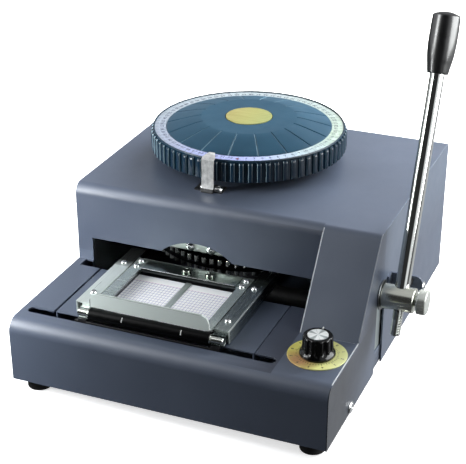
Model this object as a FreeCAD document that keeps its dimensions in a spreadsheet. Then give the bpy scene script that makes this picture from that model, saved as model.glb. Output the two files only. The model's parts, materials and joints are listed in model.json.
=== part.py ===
import FreeCAD, Part
import math, os

# Plastic card embosser: a sheet-metal machine with a type dial on top, a card
# carriage on the front deck, a press lever on the right and a depth knob.
# Millimetres, +X right, +Y back, +Z up.  The geometry is laid out from the
# case datum (middle of the case's front bottom edge); every sub-part's
# Placement carries it to the model origin, which is on the floor under the
# middle of the machine's overall footprint.

V = FreeCAD.Vector
ROT = FreeCAD.Rotation
doc = FreeCAD.newDocument("embosser")
sheet = doc.addObject("Spreadsheet::Sheet", "Dims")
cells = []


class Q(object):
    """A size that remembers the spreadsheet expression it comes from."""
    def __init__(self, v, e):
        self.v = float(v)
        self.e = e

    def _mix(self, other, op, v, swap=False):
        a, b = self.e, ex(other)
        if swap:
            a, b = b, a
        return Q(v, "(%s %s %s)" % (a, op, b))

    def __add__(self, o): return self._mix(o, "+", self.v + num(o))
    def __radd__(self, o): return self._mix(o, "+", num(o) + self.v, True)
    def __sub__(self, o): return self._mix(o, "-", self.v - num(o))
    def __rsub__(self, o): return self._mix(o, "-", num(o) - self.v, True)
    def __mul__(self, o): return self._mix(o, "*", self.v * num(o))
    def __rmul__(self, o): return self._mix(o, "*", num(o) * self.v, True)
    def __truediv__(self, o): return self._mix(o, "/", self.v / num(o))
    def __neg__(self): return Q(-self.v, "(0 - %s)" % self.e)


def num(a):
    return a.v if isinstance(a, Q) else float(a)


def ex(a):
    if isinstance(a, Q):
        return a.e
    a = float(a)
    return "(%.6g)" % a if a < 0 else "%.6g" % a


def size(alias, value):
    n = len(cells) + 1
    sheet.set("A%d" % n, alias)
    sheet.set("B%d" % n, "%.6g" % value)
    sheet.setAlias("B%d" % n, alias)
    cells.append(alias)
    return Q(value, "Dims." + alias)


def bind(obj, prop, q):
    if not isinstance(q, Q):
        q = size(("size_" + obj.Name + "_" + prop).lower().replace(".", "_")
                 .replace("[", "_").replace("]", ""), q)
    obj.setExpression(prop, q.e)


def place(obj, x, y, z, rot=None):
    obj.Placement = FreeCAD.Placement(V(num(x), num(y), num(z)), rot or ROT())
    for k, c in (("x", x), ("y", y), ("z", z)):
        if isinstance(c, Q):
            obj.setExpression("Placement.Base." + k, c.e)


# ---------------------------------------------------------------- primitives
AXROT = {"z": ROT(), "x": ROT(V(0, 1, 0), 90), "y": ROT(V(1, 0, 0), -90)}


def box(n, x0, x1, y0, y1, z0, z1):
    o = doc.addObject("Part::Box", n)
    bind(o, "Length", x1 - x0)
    bind(o, "Width", y1 - y0)
    bind(o, "Height", z1 - z0)
    place(o, x0, y0, z0)
    return o


def cyl(n, ax, r, a, b, c, length, rot=None):
    """Cylinder of radius r from point (a, b, c) along +ax."""
    o = doc.addObject("Part::Cylinder", n)
    bind(o, "Radius", r)
    bind(o, "Height", length)
    place(o, a, b, c, rot or AXROT[ax])
    return o


def cone(n, ax, r1, r2, a, b, c, length):
    o = doc.addObject("Part::Cone", n)
    bind(o, "Radius1", r1)
    bind(o, "Radius2", r2)
    bind(o, "Height", length)
    place(o, a, b, c, AXROT[ax])
    return o


def fuse(n, *obs):
    o = doc.addObject("Part::MultiFuse", n)
    o.Shapes = list(obs)
    return o


def cut(n, base, *tools):
    tool = tools[0] if len(tools) == 1 else fuse(n + "_tools", *tools)
    o = doc.addObject("Part::Cut", n)
    o.Base = base
    o.Tool = tool
    return o


def common(n, a, b):
    o = doc.addObject("Part::MultiCommon", n)
    o.Shapes = [a, b]
    return o


def edges_at(obj, test):
    """Numbers of the edges whose middle point passes the test."""
    out = []
    for i, e in enumerate(obj.Shape.Edges):
        m = e.valueAt((e.FirstParameter + e.LastParameter) / 2.0)
        if test(m, e):
            out.append(i + 1)
    return out


def fillet(n, base, picks):
    """picks: list of (radius, test)."""
    doc.recompute()
    o = doc.addObject("Part::Fillet", n)
    o.Base = base
    rows = []
    for r, test in picks:
        got = edges_at(base, test)
        if not got:
            raise RuntimeError(n + ": no edge to round")
        for g in got:
            rows.append((g, num(r), num(r)))
    o.Edges = rows
    return o


def near(a, b, tol=0.02):
    return abs(num(a) - num(b)) < tol


# ------------------------------------------------------------------ sketches
def draw(s, pts=None, circles=()):
    """Closed polygon and circles, every coordinate held by a named size."""
    import Sketcher
    con = Sketcher.Constraint

    def pin(g, p, axis, val):
        if num(val) == 0:
            s.addConstraint(con("PointOnObject", g, p, -2 if axis == "X" else -1))
            return
        k = s.addConstraint(con("Distance" + axis, -1, 1, g, p, num(val)))
        bind(s, "Constraints[%d]" % k, val)

    if pts:
        n = len(pts)
        first = s.GeometryCount
        for i in range(n):
            a, b = pts[i], pts[(i + 1) % n]
            s.addGeometry(Part.LineSegment(V(num(a[0]), num(a[1]), 0), V(num(b[0]), num(b[1]), 0)), False)
        for i in range(n):
            s.addConstraint(con("Coincident", first + i, 2, first + (i + 1) % n, 1))
        for i in range(n):
            pin(first + i, 1, "X", pts[i][0])
            pin(first + i, 1, "Y", pts[i][1])
    for (cx, cy, r) in circles:
        g = s.addGeometry(Part.Circle(V(num(cx), num(cy), 0), V(0, 0, 1), num(r)), False)
        pin(g, 3, "X", cx)
        pin(g, 3, "Y", cy)
        k = s.addConstraint(con("Radius", g, num(r)))
        bind(s, "Constraints[%d]" % k, r)


def prism(n, plane, pts, d0, d1, circles=()):
    """Straight extrusion of a polygon: plane yz runs along +X, xz along +Y,
    xy along +Z, from d0 to d1."""
    s = doc.addObject("Sketcher::SketchObject", n + "_profile")
    if plane == "yz":
        place(s, d0, 0, 0, ROT(90, 0, 90))
        direction = V(1, 0, 0)
    elif plane == "xz":
        place(s, 0, d0, 0, ROT(0, 0, 90))
        direction = V(0, 1, 0)
    else:
        place(s, 0, 0, d0)
        direction = V(0, 0, 1)
    draw(s, pts, circles)
    o = doc.addObject("Part::Extrusion", n)
    o.Base = s
    o.DirMode = "Custom"
    o.Dir = direction
    o.Solid = True
    bind(o, "LengthFwd", d1 - d0)
    return o


class Body(object):
    """A PartDesign body with short names for its usual steps."""
    def __init__(self, n):
        self.n = n
        self.b = doc.addObject("PartDesign::Body", n)
        self.k = 0

    def plane(self, role):
        for f in self.b.Origin.OriginFeatures:
            if f.Role == role:
                return f

    def new(self, kind, tag):
        self.k += 1
        return self.b.newObject(kind, "%s_%s%d" % (self.n, tag, self.k))

    def sketch(self, role, pts=None, circles=(), off=0):
        s = self.new("Sketcher::SketchObject", "sketch")
        s.AttachmentSupport = [(self.plane(role), "")]
        s.MapMode = "FlatFace"
        s.AttachmentOffset = FreeCAD.Placement(V(0, 0, num(off)), ROT())
        if isinstance(off, Q):
            s.setExpression("AttachmentOffset.Base.z", off.e)
        draw(s, pts, circles)
        return s

    def pad(self, sk, length, rev=False):
        f = self.new("PartDesign::Pad", "pad")
        f.Profile = sk
        f.Reversed = rev
        bind(f, "Length", length)
        self.b.Tip = f
        return f

    def pocket(self, sk, length, rev=False):
        doc.recompute()
        before = self.b.Shape.Volume
        f = self.new("PartDesign::Pocket", "pocket")
        f.Profile = sk
        f.Reversed = rev
        bind(f, "Length", length)
        self.b.Tip = f
        doc.recompute()
        if not self.b.Shape.Volume < before - 1e-3:
            raise RuntimeError(self.n + ": pocket removed nothing")
        return f

    def revolve(self, sk):
        f = self.new("PartDesign::Revolution", "turn")
        f.Profile = sk
        f.ReferenceAxis = (sk, ["V_Axis"])
        f.Angle = 360.0
        self.b.Tip = f
        return f

    def polar(self, feat, sk, count):
        f = self.new("PartDesign::PolarPattern", "polar")
        f.Originals = [feat]
        f.Axis = (sk, ["N_Axis"])
        f.Angle = 360.0
        f.Occurrences = count
        self.b.Tip = f
        return f

    def fillet(self, picks, tag="round"):
        for r, test in picks:
            doc.recompute()
            tip = self.b.Tip
            names = ["Edge%d" % i for i in edges_at(tip, test)]
            if not names:
                raise RuntimeError(self.n + ": no edge to round")
            f = self.new("PartDesign::Fillet", tag)
            f.Base = (tip, names)
            bind(f, "Radius", r)
            self.b.Tip = f
        return f


nodes = {}
SX = size("origin_from_datum_x", 20.0)
SY = size("origin_from_datum_y", 185.75)
SZ = size("foot_height", 12.0)


def part(label, obj, x=0, y=0, z=0, rot=None):
    """Registers a finished sub-part: its own Label and its own Placement."""
    if isinstance(obj, Body):
        obj = obj.b
    obj.Label = label
    place(obj, x - SX, y - SY, z + SZ, rot)
    nodes[label] = obj
    return obj


# ------------------------------------------------------------ driving sizes
case_w = size("case_width", 300.0)
case_d = size("case_depth", 368.0)
deck_z = size("deck_height", 60.2)
top_z = size("top_height", 137.6)
wall_y = size("front_wall_y", 134.0)
skin = size("sheet_thickness", 1.5)
nose_r = size("front_edge_radius", 12.5)
brow_r = size("brow_radius", 10.0)
heel_r = size("rear_edge_radius", 5.0)
wedge_x = size("wedge_left_x", 96.4)
wedge_y = size("wedge_foot_y", 78.5)
wedge_top_y = size("wedge_top_y", 136.0)
dial_x = size("dial_centre_x", -26.5)
dial_y = size("dial_centre_y", 266.0)
dial_low = size("dial_underside_z", 146.0)
dial_r = size("dial_tooth_radius", 96.2)
dial_root = size("dial_root_radius", 93.4)
spin_r = size("spindle_radius", 8.0)
run_fit = size("running_clearance", 0.05)
type_r = size("type_circle_radius", 95.0)
lev_y = size("lever_axis_y", 143.0)
lev_z = size("lever_axis_z", 76.5)
lean = 20.37
rod_x = size("lever_rod_x", 167.75)
splay = 0.48
rod_r = size("lever_rod_radius", 6.5)
rail_r = size("guide_rail_radius", 5.0)
rail_z = size("guide_rail_z", 42.0)
front_rail_y = size("front_rail_y", 26.2)
rear_rail_y = size("rear_rail_y", 126.5)
plate_z = size("carriage_top_z", 72.9)
knob_x = size("depth_knob_x", 122.8)
knob_y = size("depth_knob_y", 49.3)
arm_y = size("press_arm_axis_y", 185.0)
arm_up_z = size("upper_arm_axis_z", 108.0)
arm_lo_z = size("lower_arm_axis_z", 30.0)
foot_x = size("foot_centre_x", 132.0)
foot_front = size("front_foot_y", 17.0)
foot_rear = size("rear_foot_y", 350.0)
half = case_w / 2

# =================================================================== chassis
# Base pan: tray with 18 mm flanges standing just inside the cover's skirt.
pan = Body("base_pan_body")
w = half - skin - 0.3
sk = pan.sketch("XY_Plane", [(-w, 3), (w, 3), (w, 365), (-w, 365)], off=1)
pan.pad(sk, size("pan_flange_height", 17.0))
pw = w - skin
sk = pan.sketch("XY_Plane", [(-pw, 4.5), (pw, 4.5), (pw, 363.5), (-pw, 363.5)], off=18)
pan.pocket(sk, 15.5)
sk = pan.sketch("XY_Plane", None, [(foot_x, foot_front, 2.6), (-foot_x, foot_front, 2.6),
                                   (foot_x, foot_rear, 2.6), (-foot_x, foot_rear, 2.6)], off=18)
pan.pocket(sk, 20)
sk = pan.sketch("YZ_Plane", None, [(62.0, 6.3, 2.2), (300.0, 6.3, 2.2)], off=160)
pan.pocket(sk, 320)
part("base_pan", pan)


def four(fn):
    k = 0
    out = []
    for sx in (foot_x, -foot_x):
        for sy in (foot_front, foot_rear):
            k += 1
            out.append(fn(k, sx, sy))
    return out


# Rubber feet with a counterbore for their screws.
pieces = four(lambda k, x, y: cut("foot%d" % k,
              cone("foot_cone%d" % k, "z", 11.4, 12.0, x, y, -SZ, SZ + 1),
              cyl("foot_bore%d" % k, "z", 2.6, x, y, -SZ - 1, SZ + 4),
              cyl("foot_cbore%d" % k, "z", 5.2, x, y, -SZ - 1, 8.8)))
part("rubber_feet", fuse("rubber_feet_set", *pieces))
pieces = four(lambda k, x, y: fuse("foot_screw%d" % k,
              cyl("foot_screw_head%d" % k, "z", 4.6, x, y, -7.0, 2.6),
              cyl("foot_screw_shank%d" % k, "z", 2.4, x, y, -4.6, 10.0)))
part("foot_screws", fuse("foot_screws_set", *pieces))

# Top cover: one folded and welded shell.  The left part is the plain
# case; the right part also has the wedge that houses the lever shaft.
left_out = fillet("cover_left_outer",
                  prism("cover_left_block", "yz",
                        [(0, 0), (case_d, 0), (case_d, top_z), (wall_y, top_z), (wall_y, deck_z), (0, deck_z)],
                        -half, wedge_x),
                  [(nose_r, lambda m, e: near(m.y, 0) and near(m.z, deck_z)),
                   (brow_r, lambda m, e: near(m.y, wall_y) and near(m.z, top_z)),
                   (heel_r, lambda m, e: near(m.y, case_d) and near(m.z, top_z))])
right_out = fillet("cover_right_outer",
                   prism("cover_right_block", "yz",
                         [(0, 0), (case_d, 0), (case_d, top_z), (wedge_top_y, top_z), (wedge_y, deck_z), (0, deck_z)],
                         wedge_x, half),
                   [(nose_r, lambda m, e: near(m.y, 0) and near(m.z, deck_z)),
                    (brow_r, lambda m, e: near(m.y, wedge_top_y) and near(m.z, top_z)),
                    (heel_r, lambda m, e: near(m.y, case_d) and near(m.z, top_z))])
iz, it = deck_z - skin, top_z - skin
left_in = fillet("cover_left_inner",
                 prism("cover_left_void", "yz",
                       [(skin, -5), (case_d - skin, -5), (case_d - skin, it), (wall_y + skin, it),
                        (wall_y + skin, iz), (skin, iz)], skin - half, wedge_x + skin),
                 [(nose_r - skin, lambda m, e: near(m.y, skin) and near(m.z, iz)),
                  (brow_r - skin, lambda m, e: near(m.y, wall_y + skin) and near(m.z, it)),
                  (heel_r - skin, lambda m, e: near(m.y, case_d - skin) and near(m.z, it))])
right_in = fillet("cover_right_inner",
                  prism("cover_right_void", "yz",
                        [(skin, -5), (case_d - skin, -5), (case_d - skin, it), (wedge_top_y + 0.7, it),
                         (wedge_y + 0.76, iz), (skin, iz)], wedge_x + skin, half - skin),
                  [(nose_r - skin, lambda m, e: near(m.y, skin) and near(m.z, iz)),
                   (brow_r - skin, lambda m, e: near(m.y, wedge_top_y + 0.7) and near(m.z, it)),
                   (heel_r - skin, lambda m, e: near(m.y, case_d - skin) and near(m.z, it))])
shell = cut("cover_shell", fuse("cover_outer", left_out, right_out), left_in, right_in)
slot_r = size("deck_slot_radius", 4.75)
slot_a, slot_b = size("deck_slot_left", -144.0), size("deck_slot_right", 94.0)
mouth_l = size("mouth_left_x", -134.5)
mouth_z = size("mouth_top_z", 84.0)
cover_cuts = [
    # carriage slot across the deck, with round ends
    box("slot_mid", slot_a + slot_r, slot_b - slot_r, front_rail_y - slot_r, front_rail_y + slot_r, 52, 62),
    cyl("slot_end_l", "z", slot_r, slot_a + slot_r, front_rail_y, 52, 10),
    cyl("slot_end_r", "z", slot_r, slot_b - slot_r, front_rail_y, 52, 10),
    # place of the separate deck panel, and the rear slot behind it
    box("deck_window", -120.9, 73.2, front_rail_y, 126, 52, 62),
    box("rear_slot", -142, wedge_x, 120.6, wall_y - 1.0, 52, 62),
    # mouth in the front wall, with the raised bump over the type punches
    box("mouth", mouth_l, wedge_x, wall_y - 2, wall_y + 3, 52, mouth_z),
    common("mouth_bump", cyl("mouth_bump_disc", "y", 54.8, dial_x + 0.5, wall_y - 2, 42.7, 5),
           box("mouth_bump_clip", -90, 40, wall_y - 3, wall_y + 4, mouth_z - 1, 110)),
    # spindle hole in the top, lever slot in the right side
    cyl("spindle_hole", "z", 10.5, dial_x, dial_y, top_z - 5, 10),
    box("lever_slot", half - 4, half + 2, lev_y - 12, lev_y + 12, -1, lev_z),
    cyl("lever_slot_top", "x", 12, half - 4, lev_y, lev_z, 6),
    # hole for the depth adjuster's neck
    cyl("adjuster_deck_hole", "z", 6.1, knob_x, knob_y, 50, 20),
    # service opening at the back, screw holes
    box("rear_window", -125, 125, case_d - 4, case_d + 2, 14, 118),
]
side_ys = (62.0, 300.0)
for i, yy in enumerate(side_ys):
    cover_cuts.append(cyl("cover_hole%d" % i, "x", 2.2, -half - 5, yy, 6.3, case_w + 10))
rear_pts = [(-128.5, 20), (0, 9.5), (128.5, 20), (-128.5, 112), (0, 122.5), (128.5, 112)]
for i, (xx, zz) in enumerate(rear_pts):
    cover_cuts.append(cyl("rear_hole%d" % i, "y", 1.6, xx, case_d - 4, zz, 8))
part("top_cover", cut("top_cover_cut", shell, *cover_cuts))

pieces = []
for i, yy in enumerate(side_ys):
    for s, tag in ((1, "r"), (-1, "l")):
        x_head = half if s > 0 else -half - 2.5
        x_shank = half - 6 if s > 0 else -half
        pieces.append(fuse("side_screw%d%s" % (i, tag),
                           cyl("side_head%d%s" % (i, tag), "x", 5.8, x_head, yy, 6.3, 2.5),
                           cyl("side_shank%d%s" % (i, tag), "x", 2.0, x_shank, yy, 6.3, 6)))
part("cover_side_screws", fuse("cover_side_screws_set", *pieces))

# Rear service panel, screwed on from outside.
rp = Body("rear_panel_body")
sk = rp.sketch("XZ_Plane", [(-133, 5), (133, 5), (133, 127), (-133, 127)], off=-case_d)
rp.pad(sk, skin, True)
sk = rp.sketch("XZ_Plane", None, [(a, b, 1.7) for a, b in rear_pts], off=-case_d)
rp.pocket(sk, 2, False)
part("rear_panel", rp)
pieces = []
for i, (xx, zz) in enumerate(rear_pts):
    pieces.append(fuse("rear_screw%d" % i,
                       cyl("rear_head%d" % i, "y", 3.4, xx, case_d + skin, zz, 2.0),
                       cyl("rear_shank%d" % i, "y", 1.55, xx, case_d - 2.9, zz, 4.4)))
part("rear_panel_screws", fuse("rear_panel_screws_set", *pieces))

# Deck panel: flush plate with two folded-down edges.
dp = Body("deck_panel_body")
sk = dp.sketch("XZ_Plane", [(-118.7, 46), (-117.2, 46), (-117.2, iz), (70.9, iz), (70.9, 46), (72.4, 46),
                            (72.4, deck_z), (-118.7, deck_z)], off=-31.3)
dp.pad(sk, 88.7, True)
part("deck_center_panel", dp)

# Side frames, tie bars, bars and bearings inside the case.
fr = Body("right_frame_body")
sk = fr.sketch("YZ_Plane", [(105, 3), (355, 3), (355, 128), (138, 128), (105, 84)],
               [(lev_y, lev_z, 11.0), (arm_y, arm_up_z, 6.0), (arm_y, arm_lo_z, 6.0)], off=136)
fr.pad(sk, size("frame_plate_thickness", 4.0))
part("right_frame_plate", fr)
fl = Body("left_frame_body")
sk = fl.sketch("YZ_Plane", [(144, 3), (355, 3), (355, 128), (144, 128)],
               [(arm_y, arm_up_z, 6.0), (arm_y, arm_lo_z, 6.0)], off=-142)
fl.pad(sk, 4.0)
part("left_frame_plate", fl)
part("frame_tie_bars", fuse("tie_bar_set",
     box("tie_low", -138, 136, 136, 148, 5, 17),
     box("tie_high", -138, 136, 150, 162, 116, 128),
     box("tie_rear", -138, 136, 340, 352, 20, 32)))
ram = fuse("ram_bar_blank",
           box("ram_plate", -138, 92, 146, 150, 83.4, 97.5),
           box("ram_hanger", 86, 92, 146, 158, 90, 116))
ram_pts = ((-37.2, 87.8), (-16.3, 87.7))
part("ram_guide_bar", cut("ram_guide_bar_cut", ram,
     cyl("ram_hole_a", "y", 2.6, ram_pts[0][0], 140, ram_pts[0][1], 12),
     cyl("ram_hole_b", "y", 2.6, ram_pts[1][0], 140, ram_pts[1][1], 12)))
pieces = []
for i, (xx, zz) in enumerate(ram_pts):
    pieces.append(fuse("ram_screw%d" % i,
                       fillet("ram_head_round%d" % i, cyl("ram_head%d" % i, "y", 4.6, xx, 143.2, zz, 2.8),
                              [(1.2, lambda m, e: near(m.y, 143.2) and e.Length > 20)]),
                       cyl("ram_shank%d" % i, "y", 2.5, xx, 145.9, zz, 4.1)))
part("ram_guide_screws", fuse("ram_guide_screws_set", *pieces))
part("spindle_bridge", cut("spindle_bridge_cut",
     fuse("spindle_bridge_blank",
          box("bridge_bar", -138, 136, 249, 283, 116, 124),
          cyl("bridge_boss", "z", 15, dial_x, dial_y, 108, 18),
          box("bridge_tail", -34, -19, 283, 327, 116, 124)),
     cyl("bridge_bore", "z", spin_r + run_fit, dial_x, dial_y, 100, 40),
     cyl("bridge_detent_hole", "z", 4.0, dial_x, 320, 110, 20)))
part("index_detent", fuse("index_detent_set",
     cyl("detent_barrel", "z", 4.0, dial_x, 320, 96, 30),
     cone("detent_nose", "z", 1.2, 3.0, dial_x, 320, 91.5, 4.5)))
part("spindle_lower_bearing", cut("lower_bearing_cut",
     fuse("lower_bearing_blank", box("lower_bearing_base", -56.5, 3.5, 236, 296, 2.5, 9),
          cyl("lower_bearing_boss", "z", 20, dial_x, dial_y, 9, 13)),
     cyl("lower_bearing_bore", "z", spin_r + run_fit, dial_x, dial_y, 5.5, 30)))

rail_a, rail_b = size("rail_left_x", -138.0), size("rail_right_x", 112.0)
part("guide_rails", fuse("guide_rails_set",
     cyl("front_rail", "x", rail_r, rail_a, front_rail_y, rail_z, rail_b - rail_a),
     cyl("rear_rail", "x", rail_r, rail_a, rear_rail_y, rail_z, rail_b - rail_a)))
posts = []
for tag, yy in (("f", front_rail_y), ("r", rear_rail_y)):
    for t2, xx in (("l", rail_a), ("r", rail_b - 8)):
        posts.append(cut("rail_post_" + tag + t2,
                         box("post_blank_" + tag + t2, xx, xx + 8, yy - 6.5, yy + 6.5, 2.5, 50),
                         cyl("post_bore_" + tag + t2, "x", rail_r, xx - 1, yy, rail_z, 10)))
part("rail_posts", fuse("rail_posts_set", *posts))
part("arm_pivot_shafts", fuse("arm_shafts_set",
     cyl("arm_shaft_up", "x", 6.0, -142, arm_y, arm_up_z, 282),
     cyl("arm_shaft_low", "x", 6.0, -142, arm_y, arm_lo_z, 282)))
part("lever_bearing_block", cut("lever_bearing_cut",
     fuse("lever_bearing_blank", box("lever_bearing_plate", 140, 144, 119, 171, 21, 104),
          cyl("lever_bearing_boss", "x", 11.0, 132, lev_y, lev_z, 14),
          # face plate close behind the slot, held off by a spacer strip
          box("slot_face_plate", 145.7, 147.2, 121, 154.8, 18.5, 92), box("slot_spacer", 143.9, 145.8, 122, 154, 24, 30)),
     cyl("lever_bearing_bore", "x", spin_r + run_fit, 120, lev_y, lev_z, 40)))

# Lever return spring: round-wire coil round the shaft boss, one leg to the frame.
hx = doc.addObject("Part::Helix", "spring_helix")
bind(hx, "Pitch", 2.6)
bind(hx, "Height", 10.4)
bind(hx, "Radius", size("spring_coil_radius", 11.4))
place(hx, 120.5, lev_y, lev_z, AXROT["x"])
prof = doc.addObject("Part::Circle", "spring_wire")
bind(prof, "Radius", 0.8)
doc.recompute()
e0 = hx.Shape.Edges[0]
p0 = e0.valueAt(e0.FirstParameter)
prof.Placement = FreeCAD.Placement(p0, ROT(V(0, 0, 1), e0.tangentAt(e0.FirstParameter)))
sw = doc.addObject("Part::Sweep", "spring_sweep")
sw.Sections = [prof]
sw.Spine = (hx, ["Edge1"])
sw.Solid = True
sw.Frenet = True
part("lever_return_spring", sw)

# Pointer bracket: strip that rises in front of the dial and bends over its ring.
pb = Body("pointer_body")
sk = pb.sketch("YZ_Plane", [(161.3, top_z), (178.5, top_z), (178.5, top_z + 1.5), (163.3, top_z + 1.5),
                            (165.0, 145.8), (165.0, 169.4), (166.9, 170.2), (168.4, 170.2), (168.4, 171.5),
                            (166.2, 171.5), (163.4, 169.7), (163.4, 145.8), (161.3, top_z + 1.5)], off=-32.8)
pb.pad(sk, size("pointer_width", 11.9))
# tapering tip over the ring
sk = pb.sketch("XY_Plane", [(-32.8, 168.2), (-20.9, 168.2), (-25.6, 178.6), (-31.2, 178.6)], off=170.2)
pb.pad(sk, 1.3)
sk = pb.sketch("XY_Plane", [(-40.6, 164.6), (-13.4, 164.6), (-13.4, 178.5), (-40.6, 178.5)],
               [(-34.4, 170.6, 1.7), (-18.4, 170.0, 1.7)], off=top_z)
pb.pad(sk, 1.5)
part("pointer_bracket", pb)
pieces = []
for i, (xx, yy, rr) in enumerate(((-34.4, 170.6, 3.1), (-18.4, 170.0, 3.9))):
    pieces.append(fuse("pointer_screw%d" % i,
                       cyl("pointer_head%d" % i, "z", rr, xx, yy, top_z + 1.5, 2.4),
                       cyl("pointer_shank%d" % i, "z", 1.6, xx, yy, top_z, 1.6)))
part("pointer_screws", fuse("pointer_screws_set", *pieces))

# Lever stop: angle bracket on the right side with a rubber buffer.
sb = Body("stop_body")
sk = sb.sketch("XZ_Plane", [(half, 62), (180, 62), (180, 86.4), (half, 86.4)], off=-169.5)
sb.pad(sk, 2.0, True)
sk = sb.sketch("XZ_Plane", [(half, 62), (half + 1.5, 62), (half + 1.5, 86.4), (half, 86.4)], off=-160)
sb.pad(sk, 9.7, True)
sb.fillet([(6.0, lambda m, e: near(m.x, 180) and near(m.z, 86.4)),
           (6.0, lambda m, e: near(m.x, 180) and near(m.z, 62))])
part("lever_stop_bracket", sb)
part("lever_stop_bumper", fillet("stop_bumper_round",
     cyl("stop_bumper", "y", 4.0, rod_x, 155.3, 82, 14.2), [(1.2, lambda m, e: near(m.y, 155.3))]))

# Depth scale plate and the adjuster under the deck.
sp = Body("scale_plate_body")
sk = sp.sketch("XY_Plane", None, [(0, 0, size("scale_plate_radius", 25.7)), (0, 0, 6.2)])
sp.pad(sk, 1.0)
part("depth_scale_plate", sp, knob_x, knob_y, deck_z)
part("adjuster_housing", cut("adjuster_cut",
     fuse("adjuster_blank", cyl("adjuster_body", "z", 12, knob_x, knob_y, 36, iz - 36),
          cyl("adjuster_neck", "z", 6.0, knob_x, knob_y, iz - 1, 3.7)),
     cyl("adjuster_bore", "z", 3.0 + run_fit, knob_x, knob_y, 30, 50)))

# ===================================================================== lever
# The lever's own +Z leans back by the rest angle, and half a degree outward.
up = ROT(V(1, 0, 0), -lean).multiply(ROT(V(0, 1, 0), splay))
sin_l, cos_l = math.sin(math.radians(lean)), math.cos(math.radians(lean))
sin_s, cos_s = math.sin(math.radians(splay)), math.cos(math.radians(splay))


def lever_local(label, obj):
    part(label, obj, rod_x, lev_y, lev_z, up)


hub_l = 150.4
hub = cut("lever_hub_cut",
          fuse("lever_hub_blank_set",
               fillet("lever_hub_round", cyl("lever_hub_blank", "x", 11.5, hub_l, lev_y, lev_z, 30.8),
                      [(0.9, lambda m, e: e.Length > 60)]),
               cyl("hub_collar", "x", size("hub_collar_radius", 13.8), hub_l - 0.2, lev_y, lev_z, 1.3)),
          cyl("hub_shaft_bore", "x", spin_r, hub_l - 1, lev_y, lev_z, 11.6),
          cyl("hub_rod_bore", "z", rod_r, rod_x - 20 * sin_s, lev_y - 20 * cos_s * sin_l,
              lev_z - 20 * cos_s * cos_l, 40, up),
          cyl("hub_screw_bore", "x", 4.05, 173.0, lev_y, lev_z, 9))
part("lever_hub", hub)
lever_local("lever_rod", fuse("lever_rod_set",
            cyl("rod_main", "z", rod_r, 0, 0, -8, 244),
            cyl("rod_tail", "z", 4.5, 0, 0, -34, 26.2)))
gr = Body("lever_grip_body")
g0, g1 = 198.5, 252.1
sk = gr.sketch("XZ_Plane", [(rod_r, g0), (9.2, g0), (9.6, g0 + 1.4), (10.6, g0 + 8.5), (11.3, g0 + 12.5),
                            (12.05, g0 + 18.5), (12.5, g0 + 25), (12.55, g0 + 34), (12.4, g0 + 49), (11.9, g0 + 49.8),
                            (8.4, g0 + 52.0), (4.4, g1 - 0.5), (0, g1), (0, 236), (rod_r, 236)])
gr.revolve(sk)
lever_local("lever_grip", gr)
part("lever_shaft", cyl("lever_shaft_rod", "z", spin_r, 0, 0, 0, 59.9), 101, lev_y, lev_z, AXROT["x"])
part("press_cam", cut("press_cam_cut",
     cyl("press_cam_disc", "x", 16, 102, lev_y, lev_z - 3, 17),
     cyl("press_cam_bore", "x", spin_r, 100, lev_y, lev_z, 24)))
kn = Body("clamp_knob_body")
sk = kn.sketch("XZ_Plane", [(0, 174.6), (4.0, 174.6), (4.0, 181.4), (5.2, 181.6), (5.2, 183.4), (10.4, 183.4),
                            (11.3, 184.4), (11.3, 191.5), (10.3, 192.5), (0, 192.5)])
kn.revolve(sk)
part("lever_clamp_knob", kn, 0, lev_y, lev_z, ROT(V(0, 1, 0), 90))

# Press arms: rockers on the two cross shafts; the cam pushes both legs back.
ub = 6.08
part("upper_press_arm", cut("upper_arm_cut",
     fuse("upper_arm_blank",
          cyl("upper_sleeve", "x", 10.5, -36, arm_y, arm_up_z, 146),
          box("upper_nose", -33, -20, 166, 190, 87.0, 108),
          box("upper_leg", 102, 109.6, 160.0, 176, 70, 108),
          box("upper_leg_web", 102, 109.6, 172, 192, 92, 108)),
     cyl("upper_arm_bore", "x", ub, -50, arm_y, arm_up_z, 200)))
part("lower_press_arm", cut("lower_arm_cut",
     fuse("lower_arm_blank",
          cyl("lower_sleeve", "x", 10.5, -36, arm_y, arm_lo_z, 155),
          box("lower_nose", -33, -20, 166, 190, 30, 49.2),
          box("lower_leg", 111.2, 118.8, 160.0, 176, 30, 84),
          box("lower_leg_web", 111.2, 118.8, 172, 192, 30, 46)),
     cyl("lower_arm_bore", "x", ub, -50, arm_y, arm_lo_z, 200)))

# ================================================================== carriage
rod_y2 = size("cross_rod_y", 29.0)
rod_z2 = size("cross_rod_z", 66.5)
rod_rr = size("cross_rod_radius", 4.5)


side_pts = ((-93.2, 117.7), (-92.6, 55.3), (39.6, 115.4), (39.6, 52.6))


def side(n, pts, sgn, xs0, xs1):
    sb_ = Body(n + "_body")
    s1 = sb_.sketch("XZ_Plane", pts, off=-36.0)
    sb_.pad(s1, 114.0, True)
    # saddle under the flange that carries the cross rod in front of it
    s2 = sb_.sketch("YZ_Plane", [(rod_y2, 61.2), (35.8, 61.2), (35.8, 63.6), (41.0, 63.6), (41.0, 71.9), (35.8, 71.9),
                                 (35.8, 69.6), (rod_y2, 69.6)], off=xs0)
    sb_.pad(s2, xs1 - xs0)
    s3 = sb_.sketch("YZ_Plane", None, [(rod_y2, rod_z2, rod_rr)], off=xs1 + 0.2)
    sb_.pocket(s3, xs1 - xs0 + 0.4)
    s4 = sb_.sketch("XY_Plane", None, [(a, b, 1.55) for a, b in side_pts if sgn * a < 0], off=73)
    sb_.pocket(s4, 2)
    part(n, sb_)


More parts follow.
